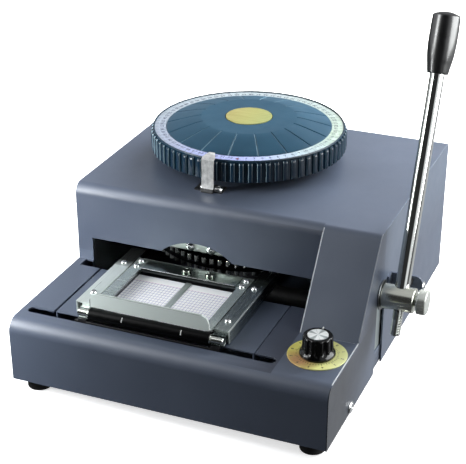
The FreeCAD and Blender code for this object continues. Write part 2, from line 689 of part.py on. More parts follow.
side("carriage_side_left", [(-100.2, 60.9), (-98.7, 60.9), (-98.7, 71.4), (-85.6, 71.4), (-85.6, 72.9), (-100.2, 72.9)], 1,
     -94.2, -85.6)
side("carriage_side_right", [(46.1, 60.9), (47.6, 60.9), (47.6, 72.9), (33.6, 72.9), (33.6, 71.4), (46.1, 71.4)], -1,
     33.6, 45.4)
part("carriage_bed", fuse("bed_set",
     box("bed_plate", -98.6, 46.0, 36.0, 133.0, 61.4, 63.4),
     box("bed_wall_l", -98.6, -97.1, 41.5, 133.0, 63.4, 71.3),
     box("bed_wall_r", 44.5, 46.0, 41.5, 133.0, 63.4, 71.3),
     box("bed_rest_l", -92.0, -86.0, 46.0, 130.0, 63.4, 71.3),
     box("bed_rest_r", 34.0, 40.0, 46.0, 130.0, 63.4, 71.3)))
part("grid_panels", fuse("grid_set",
     box("grid_l", -76.8, -28.9, 40.0, 116.5, 63.4, 64.6), box("grid_r", -23.1, 22.4, 40.0, 116.5, 63.4, 64.6)))
part("grid_divider", box("divider_bar", 0, 5.4, 0, 78, 0, 2.2), -28.7, 38.5, 63.4)
part("cross_rod", fillet("cross_rod_round", cyl("cross_rod_blank", "x", rod_rr, -94.2, rod_y2, rod_z2, 139.6),
                         [(0.5, lambda m, e: e.Length > 20)]))
part("front_slide_block", cut("front_block_cut",
     fuse("front_block_blank", box("front_block", -70, 17, 19, 33.4, 34, 50),
          box("front_skirt", -97, 42.0, 25.9, 27.9, 47.6, 59.2),
          box("front_ear_l", -94.2, -85.6, 25.9, 30.4, 58.9, 61.2),
          box("front_ear_r", 33.6, 42.0, 25.9, 30.4, 58.9, 61.2)),
     cyl("front_block_bore", "x", rail_r + run_fit, -80, front_rail_y, rail_z, 110)))
part("rear_slide_block", cut("rear_block_cut",
     fuse("rear_block_blank", box("rear_block", -70, 17, 119.5, 133.5, 34, 50),
          box("rear_leg", -70, 17, 124.5, 128.5, 50, 61.4)),
     cyl("rear_block_bore", "x", rail_r + run_fit, -80, rear_rail_y, rail_z, 110)))
def pan_screw(n, x, y, z, r=3.1, h=2.2, shank=4.0):
    head = fillet(n + "_round", cyl(n + "_head", "z", r, x, y, z, h), [(1.2, lambda m, e: near(m.z, num(z) + h) and e.Length > 8)])
    return fuse(n, head, cyl(n + "_shank", "z", 1.5, x, y, z - shank, shank + 0.2))


pieces = [pan_screw("bar_screw%d" % i, x, y, 72.9, shank=1.5) for i, (x, y) in enumerate(side_pts)]
part("carriage_screws", fuse("carriage_screws_set", *pieces))

# =============================================================== card holder
hf = Body("holder_frame_body")
sk = hf.sketch("XY_Plane", [(-84.6, 32.8), (32.6, 32.8), (32.6, 133.0), (-84.6, 133.0)], off=71.4)
hf.pad(sk, 1.5)
sk = hf.sketch("XY_Plane", [(-74.0, 36.0), (23.5, 36.0), (23.5, 111.0), (-74.0, 111.0)], off=72.9)
hf.pocket(sk, 1.5)
holder_pts = ((-79.6, 127.2), (-79.1, 116.4), (27.2, 126.7), (27.3, 115.3))
clamp_pts = ((-30.3, 121.0), (-6.8, 121.0))
sk = hf.sketch("XY_Plane", None, [(a, b, 1.55) for a, b in holder_pts] + [(a, b, 1.7) for a, b in clamp_pts], off=73)
hf.pocket(sk, 2)
sk = hf.sketch("XZ_Plane", [(-84.0, 72.3), (30.9, 72.3), (30.9, 78.7), (28.6, 84.4), (22.9, 86.7), (-76.0, 86.7),
                            (-81.7, 84.4), (-84.0, 78.7)], off=-31.2)
hf.pad(sk, 1.7, True)
hf.fillet([(4.0, lambda m, e: near(m.z, 84.4) and e.Length < 2)])
part("holder_frame", hf)
part("holder_runners", fuse("runners_set",
     box("runner_l", -84.0, -78.0, 45, 131, 63.7, 71.4), box("runner_r", 26.0, 32.0, 45, 131, 63.7, 71.4)))
part("card_clamp_bar", cut("clamp_bar_cut", fuse("clamp_bar_set",
     box("clamp_plate", -72.5, 22.0, 112.0, 130.0, 72.9, 74.1), box("clamp_lip", -72.5, 22.0, 110.4, 112.4, 72.9, 75.2)),
     cyl("clamp_hole_a", "z", 1.7, -30.3, 121.0, 72, 3), cyl("clamp_hole_b", "z", 1.7, -6.8, 121.0, 72, 3)))
pieces = [pan_screw("holder_screw%d" % i, x, y, 72.9, shank=1.5) for i, (x, y) in
          enumerate(holder_pts)]
for i, xx in enumerate((-30.3, -6.8)):
    pieces.append(fuse("clamp_screw%d" % i, cyl("clamp_head%d" % i, "z", 4.4, xx, 121.0, 74.1, 2.9),
                       cyl("clamp_shank%d" % i, "z", 1.6, xx, 121.0, 72.9, 1.3)))
part("holder_screws", fuse("holder_screws_set", *pieces))
gp = Body("grip_roller_body")
sk = gp.sketch("XZ_Plane", [(rod_rr + run_fit, -82.8), (5.2, -82.8), (5.8, -82.1), (5.8, 32.5), (5.2, 33.2),
                            (rod_rr + run_fit, 33.2)])
gp.revolve(sk)
part("grip_roller", gp, 0, rod_y2, rod_z2, ROT(V(0, 1, 0), 90))

# ================================================================ depth knob
kb = Body("depth_knob_body")
sk = kb.sketch("XZ_Plane", [(3.0, 0), (15.4, 0), (15.7, 0.6), (15.7, 2.4), (14.2, 4.4), (13.0, 17.6), (12.2, 18.4),
                            (9.0, 18.4), (9.0, 17.6), (3.0, 17.6)])
kb.revolve(sk)
n_fl = 14
sk = kb.sketch("XY_Plane", None, [(14.25, 0, 1.7)], off=18.4)
fl_ = kb.pocket(sk, 12.6)
kb.polar(fl_, sk, n_fl)
part("depth_knob", kb, knob_x, knob_y, deck_z + 1.4)
part("knob_cap", cyl("knob_cap_disc", "z", 8.9, 0, 0, 0, 1.0), knob_x, knob_y, deck_z + 19.0)
part("depth_spindle", cyl("depth_spindle_rod", "z", 3.0, 0, 0, 0, 44.2), knob_x, knob_y, 34.8)

# Letter-spacing rack on the back of the rear slide block.
rk = Body("rack_body")
sk = rk.sketch("XY_Plane", [(-92, 133.5), (40, 133.5), (40, 137.5), (-92, 137.5)], off=36)
rk.pad(sk, 8)
sk = rk.sketch("XY_Plane", [(-90.5, 137.6), (-88.9, 135.9), (-87.3, 137.6)], off=44)
tk = rk.pocket(sk, 8)
lp = rk.new("PartDesign::LinearPattern", "row")
lp.Originals = [tk]
lp.Direction = (sk, ["H_Axis"])
lp.Length = 125.4
lp.Occurrences = 38
rk.b.Tip = lp
part("spacing_rack", rk)



# ====================================================================== dial
dw = Body("dial_wheel_body")
ring_top = dial_low + 20.6
prof_pts = [(spin_r, 0), (14, 0), (14, 14), (84, 14), (88, 2), (dial_root, 0),
            (dial_root, 20.6), (dial_root - 0.9, 21.6), (92.5, 21.0), (92.5, 20.6), (81, 20.6),
            (81, 22.0), (46.2, 30.4), (23, 30.4), (23, 29.6), (spin_r, 29.6)]
sk = dw.sketch("XZ_Plane", prof_pts)
dw.revolve(sk)
places = 72                          # type positions, one side tooth each
tooth_a = math.radians(360.0 / places)
r0, r1 = num(dial_root) - 0.6, num(dial_r)
tw = 0.30


def pol(r, a):
    return (r * math.cos(a), r * math.sin(a))


sk = dw.sketch("XY_Plane", [pol(r0, -tw * tooth_a), pol(r1 - 0.7, -tw * tooth_a), pol(r1, -0.17 * tooth_a),
                            pol(r1, 0.17 * tooth_a), pol(r1 - 0.7, tw * tooth_a), pol(r0, tw * tooth_a)], off=0.6)
tooth = dw.pad(sk, 19.2)
dw.polar(tooth, sk, places)
part("dial_wheel", dw, dial_x, dial_y, dial_low)

nr = Body("number_ring_body")
sk = nr.sketch("XY_Plane", None, [(0, 0, 92.3), (0, 0, 81.2)])
nr.pad(sk, 0.9)
part("number_ring", nr, dial_x, dial_y, dial_low + 20.6)
cp = Body("dial_plate_body")
sk = cp.sketch("XY_Plane", None, [(0, 0, 22.6)])
cp.pad(sk, 1.2)
part("dial_center_plate", cp, dial_x, dial_y, dial_low + 29.6)
part("dial_spindle", cyl("dial_spindle_rod", "z", spin_r, 0, 0, 0, dial_low + 29.6 - 6),
     dial_x, dial_y, 6)
iw = Body("index_wheel_body")
sk = iw.sketch("XY_Plane", None, [(0, 0, 60), (0, 0, spin_r)])
iw.pad(sk, 3.0)
sk = iw.sketch("XY_Plane", None, [(54, 0, 1.6)], off=3)
pk = iw.pocket(sk, 1.6)
iw.polar(pk, sk, places)
part("index_wheel", iw, dial_x, dial_y, 88)


def type_wheel(n, z_disc, z_hub0, z_hub1, z_pin0, z_pin1):
    tb = Body(n + "_body")
    s1 = tb.sketch("XY_Plane", None, [(0, 0, 98), (0, 0, spin_r)], off=z_disc)
    tb.pad(s1, 4.0)
    s2 = tb.sketch("XY_Plane", None, [(0, 0, 20), (0, 0, spin_r)], off=z_hub0)
    tb.pad(s2, z_hub1 - z_hub0)
    s3 = tb.sketch("XY_Plane", None, [(type_r, 0, size(n + "_punch_radius", 1.7))], off=z_pin0)
    f = tb.pad(s3, z_pin1 - z_pin0)
    tb.polar(f, s3, places)
    part(n, tb, dial_x, dial_y, 0)


type_wheel("upper_type_wheel", 74.0, 74.0, 84.0, 68.8, 85.0)
type_wheel("lower_type_wheel", 56.0, 50.0, 60.0, 51.0, 65.5)

# ------------------------------------------------------- tests and export
doc.recompute()
bad = [o.Name + " " + "/".join(o.State) for o in doc.Objects
       if any(s in ("Invalid", "Error") for s in o.State)]
for label, obj in nodes.items():
    if obj.Shape.isNull() or not obj.Shape.isValid() or not obj.Shape.Solids:
        bad.append("shape " + label)
if bad:
    raise RuntimeError("failed objects: " + ", ".join(bad))
os.makedirs("parts", exist_ok=True)
for f in os.listdir("parts"):
    if f.endswith(".step") and f[:-5] not in nodes:
        os.remove(os.path.join("parts", f))
total = None
for label, obj in nodes.items():
    obj.Shape.exportStep("parts/%s.step" % label)
    bb = obj.Shape.BoundBox
    if total is None:
        total = FreeCAD.BoundBox(bb)
    else:
        total.add(bb)
    print("%-24s solids %2d faces %4d  %8.1f cm3  x %7.1f %7.1f  y %7.1f %7.1f  z %7.1f %7.1f" % (
        label, len(obj.Shape.Solids), len(obj.Shape.Faces), obj.Shape.Volume / 1000.0,
        bb.XMin, bb.XMax, bb.YMin, bb.YMax, bb.ZMin, bb.ZMax))
print("nodes", len(nodes), "cells", len(cells))
print("overall", [round(v, 2) for v in (total.XMin, total.XMax, total.YMin, total.YMax, total.ZMin, total.ZMax)])
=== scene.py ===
import bpy, bmesh, json, math, random
from mathutils import Vector, Matrix

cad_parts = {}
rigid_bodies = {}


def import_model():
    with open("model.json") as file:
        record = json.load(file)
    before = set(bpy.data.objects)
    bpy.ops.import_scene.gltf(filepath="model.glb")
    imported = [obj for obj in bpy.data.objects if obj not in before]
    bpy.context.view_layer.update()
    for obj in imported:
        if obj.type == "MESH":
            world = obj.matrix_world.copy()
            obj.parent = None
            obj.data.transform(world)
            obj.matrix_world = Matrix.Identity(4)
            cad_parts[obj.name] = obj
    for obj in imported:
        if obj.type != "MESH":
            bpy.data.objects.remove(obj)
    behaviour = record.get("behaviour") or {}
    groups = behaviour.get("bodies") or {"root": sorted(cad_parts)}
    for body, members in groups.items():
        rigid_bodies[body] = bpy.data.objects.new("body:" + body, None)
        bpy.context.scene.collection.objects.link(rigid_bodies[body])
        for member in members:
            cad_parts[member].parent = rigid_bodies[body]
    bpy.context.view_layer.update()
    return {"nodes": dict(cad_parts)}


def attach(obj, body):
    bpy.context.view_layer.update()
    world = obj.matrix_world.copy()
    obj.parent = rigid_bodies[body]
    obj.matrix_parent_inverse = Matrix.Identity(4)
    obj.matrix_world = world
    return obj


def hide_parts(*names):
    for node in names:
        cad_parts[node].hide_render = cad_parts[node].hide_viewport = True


for ob in list(bpy.data.objects):
    bpy.data.objects.remove(ob)
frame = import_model()
NODES = frame["nodes"]
scene = bpy.context.scene
rng = random.Random(7)

# Lengths below are in millimetres from the case datum: the middle of the
# case's front bottom edge, X right, Y back, Z up.
OX, OY, OZ = 20.0, 185.75, -12.0


def P(x, y, z):
    return Vector(((x - OX) / 1000.0, (y - OY) / 1000.0, (z - OZ) / 1000.0))


# ------------------------------------------------------------------- camera
az, el, roll = math.radians(22.9259), math.radians(28.0146), math.radians(-0.2892)
back = Vector((math.sin(az) * math.cos(el), -math.cos(az) * math.cos(el), math.sin(el)))
right = (-back).cross(Vector((0, 0, 1))).normalized()
upv = right.cross(-back)
r2 = right * math.cos(roll) + upv * math.sin(roll)
u2 = upv * math.cos(roll) - right * math.sin(roll)
cam = bpy.data.cameras.new("camera")
cam.sensor_fit = "HORIZONTAL"
cam.sensor_width = 36.0
cam.lens = 1325.93 * 36.0 / 466.0
cam.shift_x = (233.0 - 221.67) / 466.0
cam.shift_y = (279.46 - 232.0) / 466.0
cam.clip_start, cam.clip_end = 0.05, 60
cam_ob = bpy.data.objects.new("camera", cam)
scene.collection.objects.link(cam_ob)
m = Matrix((r2, u2, back)).transposed().to_4x4()
m.translation = P(422.79, -866.94, 644.02)
cam_ob.matrix_world = m
scene.camera = cam_ob

scene.view_settings.view_transform = "Standard"
scene.view_settings.look = "None"
scene.view_settings.exposure = 0.0


# ---------------------------------------------------------------- materials
def srgb(r, g, b):
    def f(c):
        c /= 255.0
        return c / 12.92 if c <= 0.04045 else ((c + 0.055) / 1.055) ** 2.4
    return (f(r), f(g), f(b), 1.0)


class Mat(object):
    """A small node-graph helper round one Principled shader."""
    def __init__(self, name):
        self.m = bpy.data.materials.new(name)
        self.m.use_nodes = True
        self.t = self.m.node_tree
        self.b = self.t.nodes["Principled BSDF"]
        self.co = None

    @classmethod
    def of(cls, m):
        M = cls.__new__(cls)
        M.m, M.t, M.b, M.co = m, m.node_tree, m.node_tree.nodes["Principled BSDF"], None
        return M

    def coord(self):
        if self.co is None:
            self.co = self.t.nodes.new("ShaderNodeTexCoord").outputs["Object"]
        return self.co

    def link(self, a, b):
        self.t.links.new(a, b)

    def mapping(self, scale=(1, 1, 1), rot=(0, 0, 0), loc=(0, 0, 0)):
        n = self.t.nodes.new("ShaderNodeMapping")
        n.inputs["Scale"].default_value = scale
        n.inputs["Rotation"].default_value = rot
        n.inputs["Location"].default_value = loc
        self.link(self.coord(), n.inputs["Vector"])
        return n.outputs["Vector"]

    def noise(self, scale, detail=3.0, rough=0.5, vec=None, dist=0.0):
        n = self.t.nodes.new("ShaderNodeTexNoise")
        n.inputs["Scale"].default_value = scale
        n.inputs["Detail"].default_value = detail
        n.inputs["Roughness"].default_value = rough
        n.inputs["Distortion"].default_value = dist
        self.link(vec if vec is not None else self.coord(), n.inputs["Vector"])
        return n.outputs["Fac"]

    def ramp(self, fac, stops):
        n = self.t.nodes.new("ShaderNodeValToRGB")
        e = n.color_ramp.elements
        while len(e) < len(stops):
            e.new(0.5)
        for i, (p, c) in enumerate(stops):
            e[i].position = p
            e[i].color = c if len(c) == 4 else (c[0], c[1], c[2], 1)
        self.link(fac, n.inputs["Fac"])
        return n.outputs["Color"]

    def remap(self, fac, lo, hi, a=0.0, b=1.0):
        n = self.t.nodes.new("ShaderNodeMapRange")
        n.inputs["From Min"].default_value = a
        n.inputs["From Max"].default_value = b
        n.inputs["To Min"].default_value = lo
        n.inputs["To Max"].default_value = hi
        self.link(fac, n.inputs["Value"])
        return n.outputs["Result"]

    def mix(self, fac, a, b, kind="MIX"):
        n = self.t.nodes.new("ShaderNodeMix")
        n.data_type = "RGBA"
        n.blend_type = kind
        for k, v in ((6, a), (7, b)):
            if isinstance(v, tuple):
                n.inputs[k].default_value = v
            else:
                self.link(v, n.inputs[k])
        if isinstance(fac, float):
            n.inputs[0].default_value = fac
        else:
            self.link(fac, n.inputs[0])
        return n.outputs[2]

    def math(self, op, a, b=None, clamp=False):
        n = self.t.nodes.new("ShaderNodeMath")
        n.operation = op
        n.use_clamp = clamp
        for k, v in ((0, a), (1, b)):
            if v is None:
                continue
            if isinstance(v, (int, float)):
                n.inputs[k].default_value = v
            else:
                self.link(v, n.inputs[k])
        return n.outputs[0]

    def sep(self, vec=None):
        n = self.t.nodes.new("ShaderNodeSeparateXYZ")
        self.link(vec if vec is not None else self.coord(), n.inputs[0])
        return n.outputs

    def bump(self, height, strength, dist):
        n = self.t.nodes.new("ShaderNodeBump")
        n.inputs["Strength"].default_value = strength
        n.inputs["Distance"].default_value = dist
        self.link(height, n.inputs["Height"])
        self.link(n.outputs["Normal"], self.b.inputs["Normal"])
        return n

    def set(self, **kw):
        for k, v in kw.items():
            s = self.b.inputs[k.replace("_", " ")]
            if hasattr(v, "is_linked") or isinstance(v, bpy.types.NodeSocket):
                self.link(v, s)
            else:
                s.default_value = v
        return self


def inbox(M, o, x0, x1, y0, y1, z0, z1):
    """1 inside a box of the object, 0 outside it."""
    lo, hi = P(x0, y0, z0), P(x1, y1, z1)
    f = None
    for k in range(3):
        for g in (M.math("GREATER_THAN", o[k], lo[k]), M.math("LESS_THAN", o[k], hi[k])):
            f = g if f is None else M.math("MULTIPLY", f, g)
    return f


def shade(m, painted_marks, metal=None):
    """Mix painted light and painted shadow over a finished material: each entry is (box, colour, amount, (axis, a, b)
    fade or None); metal, if given, lowers the metallic by metal times the weight of each entry.
    """
    M = Mat.of(m)
    o = M.sep()
    src = M.b.inputs["Base Color"].links[0].from_socket
    s_ = M.b.inputs["Metallic"]
    met = s_.links[0].from_socket if s_.links else float(s_.default_value)
    for box_, c, amount, fade in painted_marks:
        f = M.math("MULTIPLY", inbox(M, o, *box_), amount)
        if fade:
            ax, a, b = fade
            off = P(0, 0, 0)[ax]
            f = M.math("MULTIPLY", f, M.remap(o[ax], 1.0, 0.0, a / 1000.0 + off, b / 1000.0 + off))
        src = M.mix(f, src, srgb(*c))
        if metal is not None:
            met = M.math("SUBTRACT", met, M.math("MULTIPLY", f, metal), True)
    M.set(Base_Color=src)
    if metal is not None:
        M.set(Metallic=met)
    return m


def paint(name, base, painted_edge_lines=()):
    """Satin powder coat: fine orange peel, faint mottling, a trace of dust.
    Each entry of the last argument is a box (x0, x1, y0, y1, z0, z1, amount) where a light stripe is painted along an
    edge, broken up by noise: a painted highlight."""
    M = Mat(name)
    c = srgb(*base)
    dark = tuple(x * 0.93 for x in c[:3]) + (1,)
    lite = tuple(x * 1.07 for x in c[:3]) + (1,)
    big = M.noise(9.0, 4.0, 0.55)
    col = M.ramp(big, [(0.3, dark), (0.7, lite)])
    fine = M.noise(1400.0, 2.0, 0.6)
    col = M.mix(M.remap(fine, 0.0, 0.10, 0.35, 0.7), col, tuple(min(1, x * 1.5) for x in c[:3]) + (1,))
    o = M.sep() if painted_edge_lines else None
    for x0, x1, y0, y1, z0, z1, amount in painted_edge_lines:
        lo, hi = P(x0, y0, z0), P(x1, y1, z1)
        f = M.math("MULTIPLY", M.remap(M.noise(160.0, 3.0), 0.7 * amount, amount, 0.3, 0.6), 1.0)
        for k in range(3):
            f = M.math("MULTIPLY", f, M.math("GREATER_THAN", o[k], lo[k]))
            f = M.math("MULTIPLY", f, M.math("LESS_THAN", o[k], hi[k]))
        # painted highlight: the light stripe along each listed edge
        col = M.mix(f, col, srgb(232, 236, 240))
    M.set(Base_Color=col, Metallic=0.0, Roughness=M.remap(M.noise(35.0, 3.0), 0.39, 0.48, 0.3, 0.7))
    M.b.inputs["Specular IOR Level"].default_value = 0.62
    M.b.inputs["Coat Weight"].default_value = 0.10
    M.b.inputs["Coat Roughness"].default_value = 0.25
    M.bump(M.noise(900.0, 2.0, 0.5), 0.12, 0.0003)
    return M.m


def brushed(name, base, rough, axis, streak=900.0, tint=None, contrast=0.10, aniso=0.35, mottle=14.0, metal=1.0, painted_light_lip=None):
    """Metal with drawn streaks along one axis and a slightly clouded plating."""
    M = Mat(name)
    c = srgb(*base)
    sc = [streak, streak, streak]
    sc["xyz".index(axis)] = streak / 60.0
    st = M.noise(1.0, 5.0, 0.65, M.mapping(tuple(sc)))
    cloud = M.noise(mottle, 5.0, 0.6)
    lo = tuple(x * (1 - 2.2 * contrast) for x in c[:3]) + (1,)
    hi = tuple(min(1, x * (1 + contrast)) for x in c[:3]) + (1,)
    col = M.ramp(st, [(0.25, lo), (0.75, hi)])
    if tint:
        col = M.mix(M.remap(cloud, 0.0, 0.65, 0.35, 0.68), col, srgb(*tint))
    M.set(Base_Color=col, Metallic=1.0)
    r = M.math("ADD", M.remap(st, rough * 0.78, rough * 1.25, 0.25, 0.75), M.remap(cloud, -0.03, 0.04, 0.3, 0.7))
    M.set(Roughness=r)
    M.b.inputs["Anisotropic"].default_value = aniso
    M.b.inputs["Metallic"].default_value = metal
    # painted reflection: faces in front of the given y get a pale tone, less metallic and rougher, standing in for the
    # bright table they face
    if painted_light_lip is not None:
        front = M.math("LESS_THAN", M.sep()[1], painted_light_lip)
        M.set(Base_Color=M.mix(front, col, srgb(234, 244, 240)), Metallic=M.math("SUBTRACT", metal, M.math("MULTIPLY", front, metal - 0.18)),
              Roughness=M.math("ADD", r, M.math("MULTIPLY", front, 0.16)))
    M.bump(st, 0.10, 0.0002)
    return M.m


def smooth_metal(name, base, rough, smear=0.03):
    M = Mat(name)
    c = srgb(*base)
    cl = M.noise(60.0, 4.0, 0.6)
    M.set(Base_Color=M.ramp(cl, [(0.3, tuple(x * 0.94 for x in c[:3])), (0.7, c)]), Metallic=1.0,
          Roughness=M.remap(M.noise(240.0, 3.0), rough, rough + smear, 0.3, 0.7))
    M.bump(M.noise(500.0, 2.0), 0.02, 0.0001)
    return M.m


def plastic(name, base, rough, spec=0.5, grain=700.0, bump=0.06, coat=0.0):
    M = Mat(name)
    c = srgb(*base)
    cl = M.noise(22.0, 4.0, 0.6)
    M.set(Base_Color=M.ramp(cl, [(0.3, tuple(x * 0.88 for x in c[:3])), (0.7, tuple(min(1, x * 1.08) for x in c[:3]))]),
          Roughness=M.remap(M.noise(160.0, 3.0), rough * 0.9, rough * 1.15, 0.3, 0.7))
    M.b.inputs["Specular IOR Level"].default_value = spec
    M.b.inputs["Coat Weight"].default_value = coat
    M.b.inputs["Coat Roughness"].default_value = 0.06
    M.bump(M.noise(grain, 2.0), bump, 0.0002)
    return M.m


m_paint = paint("paint_slate", (82, 91, 108))
# painted highlights: light stripes along the wedge's left edge, the deck's right edge and the top's right edge
m_cover = paint("paint_cover", (82, 91, 108), [
    (96.43, 97.45, 78.8, 136, 60.4, 144, 0.85), (149.0, 149.97, 9, 80, 59.0, 61.0, 1.0),
    (149.2, 149.97, 80, 140, 60.0, 146.2, 0.35)])
# painted shade darkens the front wall toward its right end and, less, its left end, the deck's right strip and the
# side's front; painted light brightens the side's upper back
shade(m_cover, [((-20, 97, 132.5, 135.5, 70, 141.5), (52, 57, 70), 0.62, (0, 97.0, -20.0)),
                ((-150, -20, 132.5, 135.5, 70, 141.5), (62, 68, 84), 0.35, (0, -150.0, -20.0)),
                ((40, 96.5, 8, 136, 59, 60.8), (46, 50, 64), 0.8, (0, 96.5, 40.0)),
                ((149.0, 151, -5, 120, 0, 58.5), (50, 55, 64), 1.0, (1, 40.0, 120.0)),
                ((149.0, 151, 150, 372, 60, 160), (98, 109, 126), 0.75, (2, 112.0, 62.0))])
# this lighter paint goes on the stop bracket's bevel faces: a painted highlight along its edges, partly edge wear
m_bracket_edge_highlight = paint("paint_edge_highlight", (150, 157, 166))
# painted highlight on the cover's bevelled edges, lighter toward the lever side and broken up by noise like wear
M = Mat("cover_edge_highlight")
o = M.sep()
f = M.remap(o[0], 0.0, 1.0, 0.045, 0.09)
f = M.math("MULTIPLY", f, M.remap(M.noise(120.0, 3.0), 0.75, 1.0, 0.3, 0.6))
M.set(Base_Color=M.mix(f, srgb(96, 103, 116), srgb(232, 238, 242)), Roughness=0.34)
M.bump(M.noise(900.0, 2.0, 0.5), 0.08, 0.0002)
m_cover_edge_highlight = M.m
m_black = paint("black_enamel", (24, 24, 27))
m_zinc_y = brushed("zinc_plate_y", (198, 208, 204), 0.22, "y", tint=(160, 172, 166), contrast=0.07)
m_zinc_x = brushed("zinc_plate_x", (208, 218, 214), 0.20, "x", tint=(172, 184, 178), contrast=0.07)
# the holder's front strip gets the pale painted reflection from brushed()
m_holder = brushed("holder_plate", (214, 224, 220), 0.22, "x", tint=(176, 188, 182), contrast=0.07, metal=0.8, painted_light_lip=-0.1523)
# painted light on the left bar and the front strip's right end; painted shade on the front strip's left end, along its
# top edge and on the window's rear edge
shade(m_holder, [((-84.6, -74.0, 33.5, 112, 72, 73.3), (184, 196, 192), 0.45, None),
                 ((-84.3, -83.1, 30, 33.4, 71, 87), (44, 50, 50), 0.75, None),
                 ((-84.3, 24.0, 30, 33.4, 86.1, 87), (120, 128, 125), 0.55, None),
                 ((-74.5, 24, 110.4, 111.4, 71, 72.85), (16, 17, 18), 0.92, None),
                 ((30.1, 31.2, 30, 33.4, 71, 87), (250, 252, 250), 0.6, None)])
# both rails are one plated metal: the left gets a lighter, less metallic copy as painted light, the right a darker copy
# as painted shade
m_rail_l = brushed("rail_plate_l", (240, 248, 244), 0.30, "y", tint=(206, 216, 210), contrast=0.07, metal=0.6)
m_rail_r = brushed("rail_plate_r", (162, 170, 170), 0.24, "y", tint=(132, 142, 140), contrast=0.07)
# painted shadow darkens the left rail's rear toward the wall
shade(m_rail_l, [((-101, -85, 112, 160, 60, 73.2), (16, 17, 18), 0.97, (1, 124.0, 106.0))], 0.0)
# painted highlight along the right rail's outer top edge, painted light on its front end and skirt, fading toward the
# rear
shade(m_rail_r, [((46.5, 47.7, 30, 112, 72.0, 73.3), (240, 246, 242), 0.95, (1, 40.0, 132.0)),
                 ((47.3, 47.7, 30, 60, 60, 72.0), (176, 186, 182), 0.6, (1, 36.0, 64.0)),
                 ((46.5, 47.7, 34, 37.2, 60, 73.3), (196, 204, 200), 0.8, None),
                 ((33, 46.5, 34, 60, 70, 73.3), (176, 188, 184), 0.5, (1, 38.0, 72.0))], 0.7)
m_divider = brushed("divider_strip", (206, 216, 212), 0.34, "y", tint=(170, 180, 176), contrast=0.06, metal=0.6)
m_clamp = brushed("clamp_plate", (176, 188, 182), 0.20, "x", tint=(134, 146, 142), contrast=0.07)
# painted highlight along the clamp bar's top edge and painted shade on its front face
shade(m_clamp, [((-73, 23, 110.0, 112.45, 75.1, 75.4), (240, 240, 240), 0.9, None),
                ((-73, 23, 110.0, 112.0, 72.0, 75.0), (14, 15, 16), 0.94, None)], -0.1)
m_ram = brushed("ram_plate", (236, 240, 236), 0.34, "x", tint=(206, 212, 208), contrast=0.05)
m_zinc_z = brushed("pointer_strip", (252, 252, 250), 0.34, "z", tint=(150, 152, 153), contrast=0.12, mottle=170.0, metal=0.6)
# painted shadow: a dark patch on the pointer strip's left foot
shade(m_zinc_z, [((-60, 0, 150, 180, 130, 141.6), (30, 31, 33), 0.9, None)], -0.35)
m_frame = brushed("frame_plate", (190, 200, 200), 0.36, "z", contrast=0.05)
m_chrome = smooth_metal("hard_chrome", (228, 230, 226), 0.05, 0.025)
m_rodend = smooth_metal("ground_rod", (205, 208, 202), 0.13, 0.05)
# painted shade darkens the rod's left side, in five steps up its lean
m_rod = shade(smooth_metal("lever_chrome", (228, 230, 226), 0.05, 0.025),
              [((150, 167.3 + 0.5 * k, 60, 400, 60.0 + 60 * k, 120.0 + 60 * k), (110, 118, 114), 0.5, None) for k in range(5)])
m_nickel = brushed("satin_nickel", (226, 228, 216), 0.20, "x", streak=1400.0, contrast=0.05, aniso=0.2)
# the clamp knob's nickel is a lighter, less metallic copy of the hub's: painted light for the bright table it reflects
m_nickel_l = brushed("nickel_knob", (244, 248, 240), 0.24, "x", streak=1400.0, contrast=0.05, aniso=0.2, metal=0.72)
m_button = smooth_metal("clamp_button", (128, 132, 124), 0.16, 0.05)
# pin_ends is a lighter steel than the upper collars' tool steel: a painted highlight so the lower punch collars glint
m_pin = brushed("pin_ends", (236, 240, 238), 0.16, "z", contrast=0.06, metal=0.86)
m_screw = smooth_metal("bright_screw", (226, 228, 228), 0.12, 0.08)
m_gloss = plastic("gloss_black", (13, 14, 16), 0.30, 0.8, bump=0.02, coat=0.35)
m_knob = plastic("knob_black", (5, 5, 6), 0.16, 0.26, bump=0.02, coat=0.05)
m_roller = plastic("roller_black", (3, 3, 4), 0.34, 0.08, bump=0.02)
m_rubber = plastic("foot_rubber", (17, 17, 18), 0.62, 0.35, bump=0.25)
m_tool = brushed("tool_steel", (120, 122, 124), 0.35, "x", contrast=0.08)
# the type wheels get a darker copy of the tool steel: painted shade of the case interior
m_wheel = brushed("type_wheel", (66, 68, 70), 0.22, "x", contrast=0.08)
# the lower press arm is near black while the upper one is cast grey: painted shade of the case interior
m_arm_painted_shade = plastic("arm_painted_shade_black", (9, 9, 12), 0.55, 0.25, bump=0.3)
m_cast = plastic("cast_grey", (58, 60, 64), 0.6, 0.4, bump=0.3)
m_alu = brushed("machined_alu", (190, 192, 194), 0.3, "x", contrast=0.05)
m_ink = plastic("print_ink", (40, 42, 70), 0.5, 0.3)
m_inkdark = plastic("print_ink_dark", (44, 38, 22), 0.5, 0.3)
m_red = plastic("red_mark", (96, 18, 34), 0.4, 0.4)
m_white = plastic("white_mark", (222, 224, 222), 0.4, 0.4)

